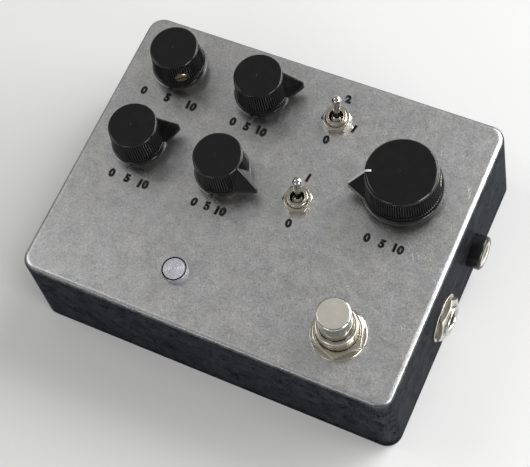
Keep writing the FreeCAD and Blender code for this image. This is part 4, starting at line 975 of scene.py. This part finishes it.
PANEL_TOP, CEILING = 34.0, 31.7
TOGGLE_TOP = 37.2
TOGGLE_NUT = {"flats": 8.0, "bore": 3.13, "low": PANEL_TOP, "high": 36.2, "turn": math.radians(20)}
SLEEVE_INNER, SLEEVE_OUTER = 2.15, 3.1
CASE_WIDTH, CASE_LENGTH = 11.5, 13.0
WELL_FLOOR, WELL_END = 30.3, 33.0
case_low = heights_of("toggle_body_upper")[0]
nuts = []
for switch in ("upper", "lower"):
    place = axis_of("toggle_body_" + switch)
    nuts.append(hex_nut("toggle_nut_" + switch, **TOGGLE_NUT))
    set_in_place(nuts[-1], place)
    outline = [(SLEEVE_INNER, CEILING), (SLEEVE_INNER, TOGGLE_TOP), (SLEEVE_OUTER, TOGGLE_TOP)]
    outline += threaded(SLEEVE_OUTER, 32.0, TOGGLE_TOP - 0.25, 0.42, 0.18)
    outline += [(SLEEVE_OUTER, CEILING), (SLEEVE_INNER, CEILING)]
    sleeve = turn_on_lathe("toggle_bushing_" + switch, outline, {1: 0.15, 2: 0.22})
    set_in_place(sleeve, place)
    finish_piece(sleeve, "nickel")
    case = start_from("cube", "toggle_case_" + switch, size=1, location=(0, 0, (case_low + CEILING) / 2 * MM),
                      scale=(CASE_WIDTH * MM, CASE_LENGTH * MM, (CEILING - case_low) * MM))
    soften(case, 0.5, 3, 40.0)
    cut_with(case, turn_on_lathe("well", [
        (0, WELL_FLOOR), (SLEEVE_INNER, WELL_FLOOR), (SLEEVE_INNER, WELL_END), (0, WELL_END)], steps=48))
    set_in_place(case, place)
    finish_piece(case, "switch_plastic", ["toggle_body_" + switch])
finish_piece(join("toggle_hex_nuts", nuts), "nickel", ["toggle_nuts"])

# %% [markdown]
# ## Stomp switch
# The foot switch stands in a smooth nickel bushing with a domed button, held by a wide nut on a
# round washer. These are turned parts, and their look is all in the small radii: the rim of the
# button, the lip of the bushing, the rounded border of the washer. So the sections are drawn
# with those radii, and spun.

# %% Stomp bushing, washer and nuts
BUSHING_INNER, BUSHING_OUTER = 4.91, 6.0
WASHER_INNER, WASHER_OUTER, WASHER_TOP = 6.06, 8.1, 34.8
STOMP_NUT = {"flats": 14.0, "bore": WASHER_INNER, "turn": math.radians(43.5)}
NUT_TALL = 2.4
place = axis_of("stomp_button")
low, high = heights_of("stomp_bushing")
bushing = turn_on_lathe("stomp_collar", [
    (BUSHING_INNER, low), (BUSHING_INNER, high), (BUSHING_OUTER, high), (BUSHING_OUTER, high - 1.2),
    (BUSHING_OUTER - 0.14, high - 1.3), (BUSHING_OUTER - 0.14, high - 1.5), (BUSHING_OUTER, high - 1.6),
    (BUSHING_OUTER, low), (BUSHING_INNER, low)], {1: 0.25, 2: 0.5}, steps=128)
washer = turn_on_lathe("stomp_ring", [
    (WASHER_INNER, PANEL_TOP), (WASHER_OUTER, PANEL_TOP), (WASHER_OUTER, WASHER_TOP),
    (WASHER_INNER, WASHER_TOP), (WASHER_INNER, PANEL_TOP)], {1: 0.1, 2: 0.3}, steps=128)
stomp_nuts = join("stomp_hex_nuts", [
    hex_nut("upper_nut", low=WASHER_TOP, high=WASHER_TOP + NUT_TALL, **STOMP_NUT),
    hex_nut("lower_nut", low=CEILING - NUT_TALL, high=CEILING, **STOMP_NUT)])
for piece, node in ((bushing, "stomp_bushing"), (washer, "stomp_washer"), (stomp_nuts, "stomp_nuts")):
    set_in_place(piece, place)
    finish_piece(piece, "nickel", [node])

# %% Stomp button
BUTTON_RADIUS = 4.85
low, high = heights_of("stomp_button")
button = turn_on_lathe("stomp_cap", [
    (0.0, low), (BUTTON_RADIUS, low), (BUTTON_RADIUS, high - 1.9), (BUTTON_RADIUS - 0.07, high - 2.0),
    (BUTTON_RADIUS - 0.07, high - 2.1), (BUTTON_RADIUS, high - 2.2), (BUTTON_RADIUS, high), (3.9, high),
    (0.0, high - 0.05)], {1: 0.3, 6: 0.6}, steps=128)
set_in_place(button, place)
finish_piece(button, "chrome", ["stomp_button"], "stomp_button")
# Painted light: the flat top takes the paler, rougher satin nickel and the sides the darker chrome, a lit top
# over shaded sides.
button.data.materials.append(FINISHES["satin_nickel"])
open_mesh(button)
painted_lit_top = pick(button, "FACE", lambda face: face.normal.z > 0.98
                and face.calc_center_median().z / MM > high - 0.2)
bpy.context.object.active_material_index = 1
bpy.ops.object.material_slot_assign()
close_mesh()
print("stomp cap: satin top with", painted_lit_top, "faces")

# %% [markdown]
# ## Return spring
# Inside the switch a steel coil pushes the button back up. A coil is a small circle that is
# carried round an axis and upward at the same time, and that is just what the Screw modifier
# does with it. Its two ends are left open, so they are filled. A stiff mesh would stand inside
# the button once that is pressed, and this coil stays stiff; it only gets a mesh of its own.

# %% Coil
COIL_RADIUS, COIL_WIRE, COIL_TURNS = 3.4, 0.4, 5
low, high = heights_of("stomp_spring")
coil_start, coil_end = low + COIL_WIRE + 0.02, high - COIL_WIRE - 0.05
spring = start_from("circle", "stomp_coil", vertices=16, radius=COIL_WIRE * MM, rotation=(math.pi / 2, 0, 0),
                    location=(COIL_RADIUS * MM, 0, coil_start * MM))
apply_modifier(spring, "SCREW", axis="Z", steps=32, iterations=COIL_TURNS,
               screw_offset=(coil_end - coil_start) / COIL_TURNS * MM)
open_mesh(spring)
pick_all()
bpy.ops.mesh.fill_holes(sides=0)
bpy.ops.mesh.normals_make_consistent(inside=False)
close_mesh()
set_in_place(spring, place)
finish_piece(spring, "spring_steel", ["stomp_spring"])
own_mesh(spring)

# %% [markdown]
# ## Jacks
# Each side wall carries a quarter-inch jack: a flat washer, a hex nut and a threaded bushing
# with a rounded lip round the plug hole. The walls lean in by their draft, so the parts are
# built upright round Z, laid over to point out of the wall, and tipped by the draft angle. The
# left jack is the mirror image of the right one.

# %% Jack hardware
DRAFT = math.radians(2.26)
HALF_LENGTH = 59.75
JACK_BACK, JACK_LEVEL = -8.4, 14.0
PLUG_RADIUS, JACK_RADIUS = 3.25, 4.75
JACK_REACH, JACK_STAKE = 3.1, -3.8
RING_BORE, RING_RADIUS, RING_THICK = 4.8, 7.4, 0.4
JACK_NUT = {"flats": 12.7, "bore": RING_BORE, "low": RING_THICK, "high": 2.2, "turn": math.radians(30)}


def stand_on_wall(piece, side, back, level):
    """Lays a piece built round Z onto a side wall, 1 for the right one and -1 for the left."""
    set_in_place(piece, (0, 0, 0), (0, math.pi / 2, 0))
    set_in_place(piece, (0, 0, 0), (0, -DRAFT, 0))
    reach = HALF_LENGTH - level * math.tan(DRAFT)
    set_in_place(piece, (reach * MM, back * MM, level * MM))
    if side < 0:
        take_up(piece)
        piece.scale = (-1, 1, 1)
        keep_place()
        open_mesh(piece)
        face_outwards()
        close_mesh()


jack_nuts, jack_washers = [], []
section = [(PLUG_RADIUS, JACK_STAKE), (PLUG_RADIUS, JACK_REACH - 0.5), (3.75, JACK_REACH),
           (JACK_RADIUS, JACK_REACH), *threaded(JACK_RADIUS, -2.2, JACK_REACH - 0.45, 0.6, 0.28),
           (JACK_RADIUS, JACK_STAKE), (PLUG_RADIUS, JACK_STAKE)]
for side, jack in ((1, "input"), (-1, "output")):
    bushing = turn_on_lathe(jack + "_jack_bushing", section, {1: 0.3, 2: 0.2, 3: 0.4}, steps=96)
    stand_on_wall(bushing, side, JACK_BACK, JACK_LEVEL)
    finish_piece(bushing, "nickel", [jack + "_jack"], finish="chrome")
    jack_nuts.append(hex_nut(jack + "_nut", **JACK_NUT))
    jack_washers.append(turn_on_lathe(jack + "_washer", [
        (RING_BORE, 0.0), (RING_RADIUS, 0.0), (RING_RADIUS, RING_THICK), (RING_BORE, RING_THICK),
        (RING_BORE, 0.0)], {1: 0.08, 2: 0.15}, steps=96))
    stand_on_wall(jack_nuts[-1], side, JACK_BACK, JACK_LEVEL)
    stand_on_wall(jack_washers[-1], side, JACK_BACK, JACK_LEVEL)
for name, pair, node in (("jack_hex_nuts", jack_nuts, "jack_nuts"),
                         ("jack_flat_washers", jack_washers, "jack_washers")):
    finish_piece(join(name, pair), "nickel", [node], finish="dull_nickel")

# %% [markdown]
# ## Power socket
# A black nylon collar with a rounded rim stands on the wall, and a nickel sleeve lines its
# hole. The sleeve ends flush with the collar, so that its rim draws a bright ring round the
# dark hole. Behind the wall go a barrel and two lugs, which are added on as plain bars.

# %% Power socket
SOCKET_BACK, SOCKET_LEVEL = 15.2, 12.6
COLLAR_RADIUS, COLLAR_REACH = 5.2, 4.0
BARREL_RADIUS, BARREL_END = 4.6, -12.0
HOLE_RADIUS, HOLE_END = 3.95, BARREL_END + 3.0
LINING_INNER, LINING_OUTER, LINING_REACH = 2.9, 3.9, COLLAR_REACH - 0.05
LUG_THICK, LUG_WIDE, LUG_LONG, LUG_SIDE = 0.8, 2.0, 3.6, 2.4
collar = turn_on_lathe("power_socket_collar", [
    (HOLE_RADIUS, HOLE_END), (HOLE_RADIUS, COLLAR_REACH), (COLLAR_RADIUS, COLLAR_REACH),
    (COLLAR_RADIUS, 0.0), (BARREL_RADIUS, 0.0), (BARREL_RADIUS, BARREL_END), (0.0, BARREL_END),
    (0.0, HOLE_END), (HOLE_RADIUS, HOLE_END)], {1: 0.12, 2: 0.9, 3: 0.1, 5: 0.3}, steps=96)
for side in (-1, 1):
    lug = start_from("cube", "lug", size=1, scale=(LUG_THICK * MM, LUG_WIDE * MM, (LUG_LONG + 1) * MM),
                     location=(0, LUG_SIDE * side * MM, (BARREL_END - LUG_LONG / 2 + 0.5) * MM))
    cut_with(collar, lug, "UNION")
sleeve = turn_on_lathe("power_socket_sleeve_ring", [
    (LINING_INNER, HOLE_END), (LINING_INNER, LINING_REACH), (LINING_OUTER, LINING_REACH),
    (LINING_OUTER, HOLE_END), (LINING_INNER, HOLE_END)], {1: 0.3, 2: 0.12}, steps=96)
for piece in (collar, sleeve):
    stand_on_wall(piece, 1, SOCKET_BACK, SOCKET_LEVEL)
finish_piece(collar, "black_plastic", ["power_socket"])
finish_piece(sleeve, "nickel", ["power_socket_sleeve"], finish="satin_nickel")

# %% [markdown]
# ## Indicator lens
# A clear cap with a low crown stands over the lamp. Its top is turned with fine rings that
# spread the light, about two to a millimetre, and its underside is hollow for the bulb. The
# rings are points of the section, alternately high and low, before it is spun.

# %% Lens
LENS_RADIUS, STEM_RADIUS, BULB_RADIUS = 3.9, 3.2, 2.65
BULB_ROOF = 34.3
CROWN_RISE = 0.3
RING_PITCH, RING_DEPTH = 0.46, 0.12
low, high = heights_of("lamp_lens")
section = [(0.0, BULB_ROOF), (BULB_RADIUS, BULB_ROOF), (BULB_RADIUS, low), (STEM_RADIUS, low),
           (STEM_RADIUS, PANEL_TOP), (LENS_RADIUS, PANEL_TOP), (LENS_RADIUS, high - 0.55),
           (LENS_RADIUS - 0.3, high - 0.25), (3.4, high - 0.6)]
radius = STEM_RADIUS
count = 0
while radius > RING_PITCH / 2:
    crown = CROWN_RISE * (1 - (radius / LENS_RADIUS) ** 2)
    section.append((radius, high - CROWN_RISE + crown - (RING_DEPTH if count % 2 else 0.0)))
    radius -= RING_PITCH / 2
    count += 1
section.append((0.0, high - 0.02))
lens = turn_on_lathe("indicator_lens", section, {6: 0.15}, steps=96)
set_in_place(lens, axis_of("lamp_lens"))
finish_piece(lens, "clear_lens", ["lamp_lens"])
print("rings", count // 2)

# %% [markdown]
# ## Finishes for the solids that stay
# The other CAD solids already have the right shape, so they keep their meshes, and only their
# material slots are filled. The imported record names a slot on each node, and the finishes were
# made under the same names.

# %% Finish the CAD solids
for node in frame["nodes"].values():
    for slot in node.material_slots:
        slot.material = FINISHES[slot.material.name]
frame["nodes"]["chips"].material_slots[0].material = FINISHES["chip_plastic"]
print("finishes given to", len(frame["nodes"]), "CAD nodes")
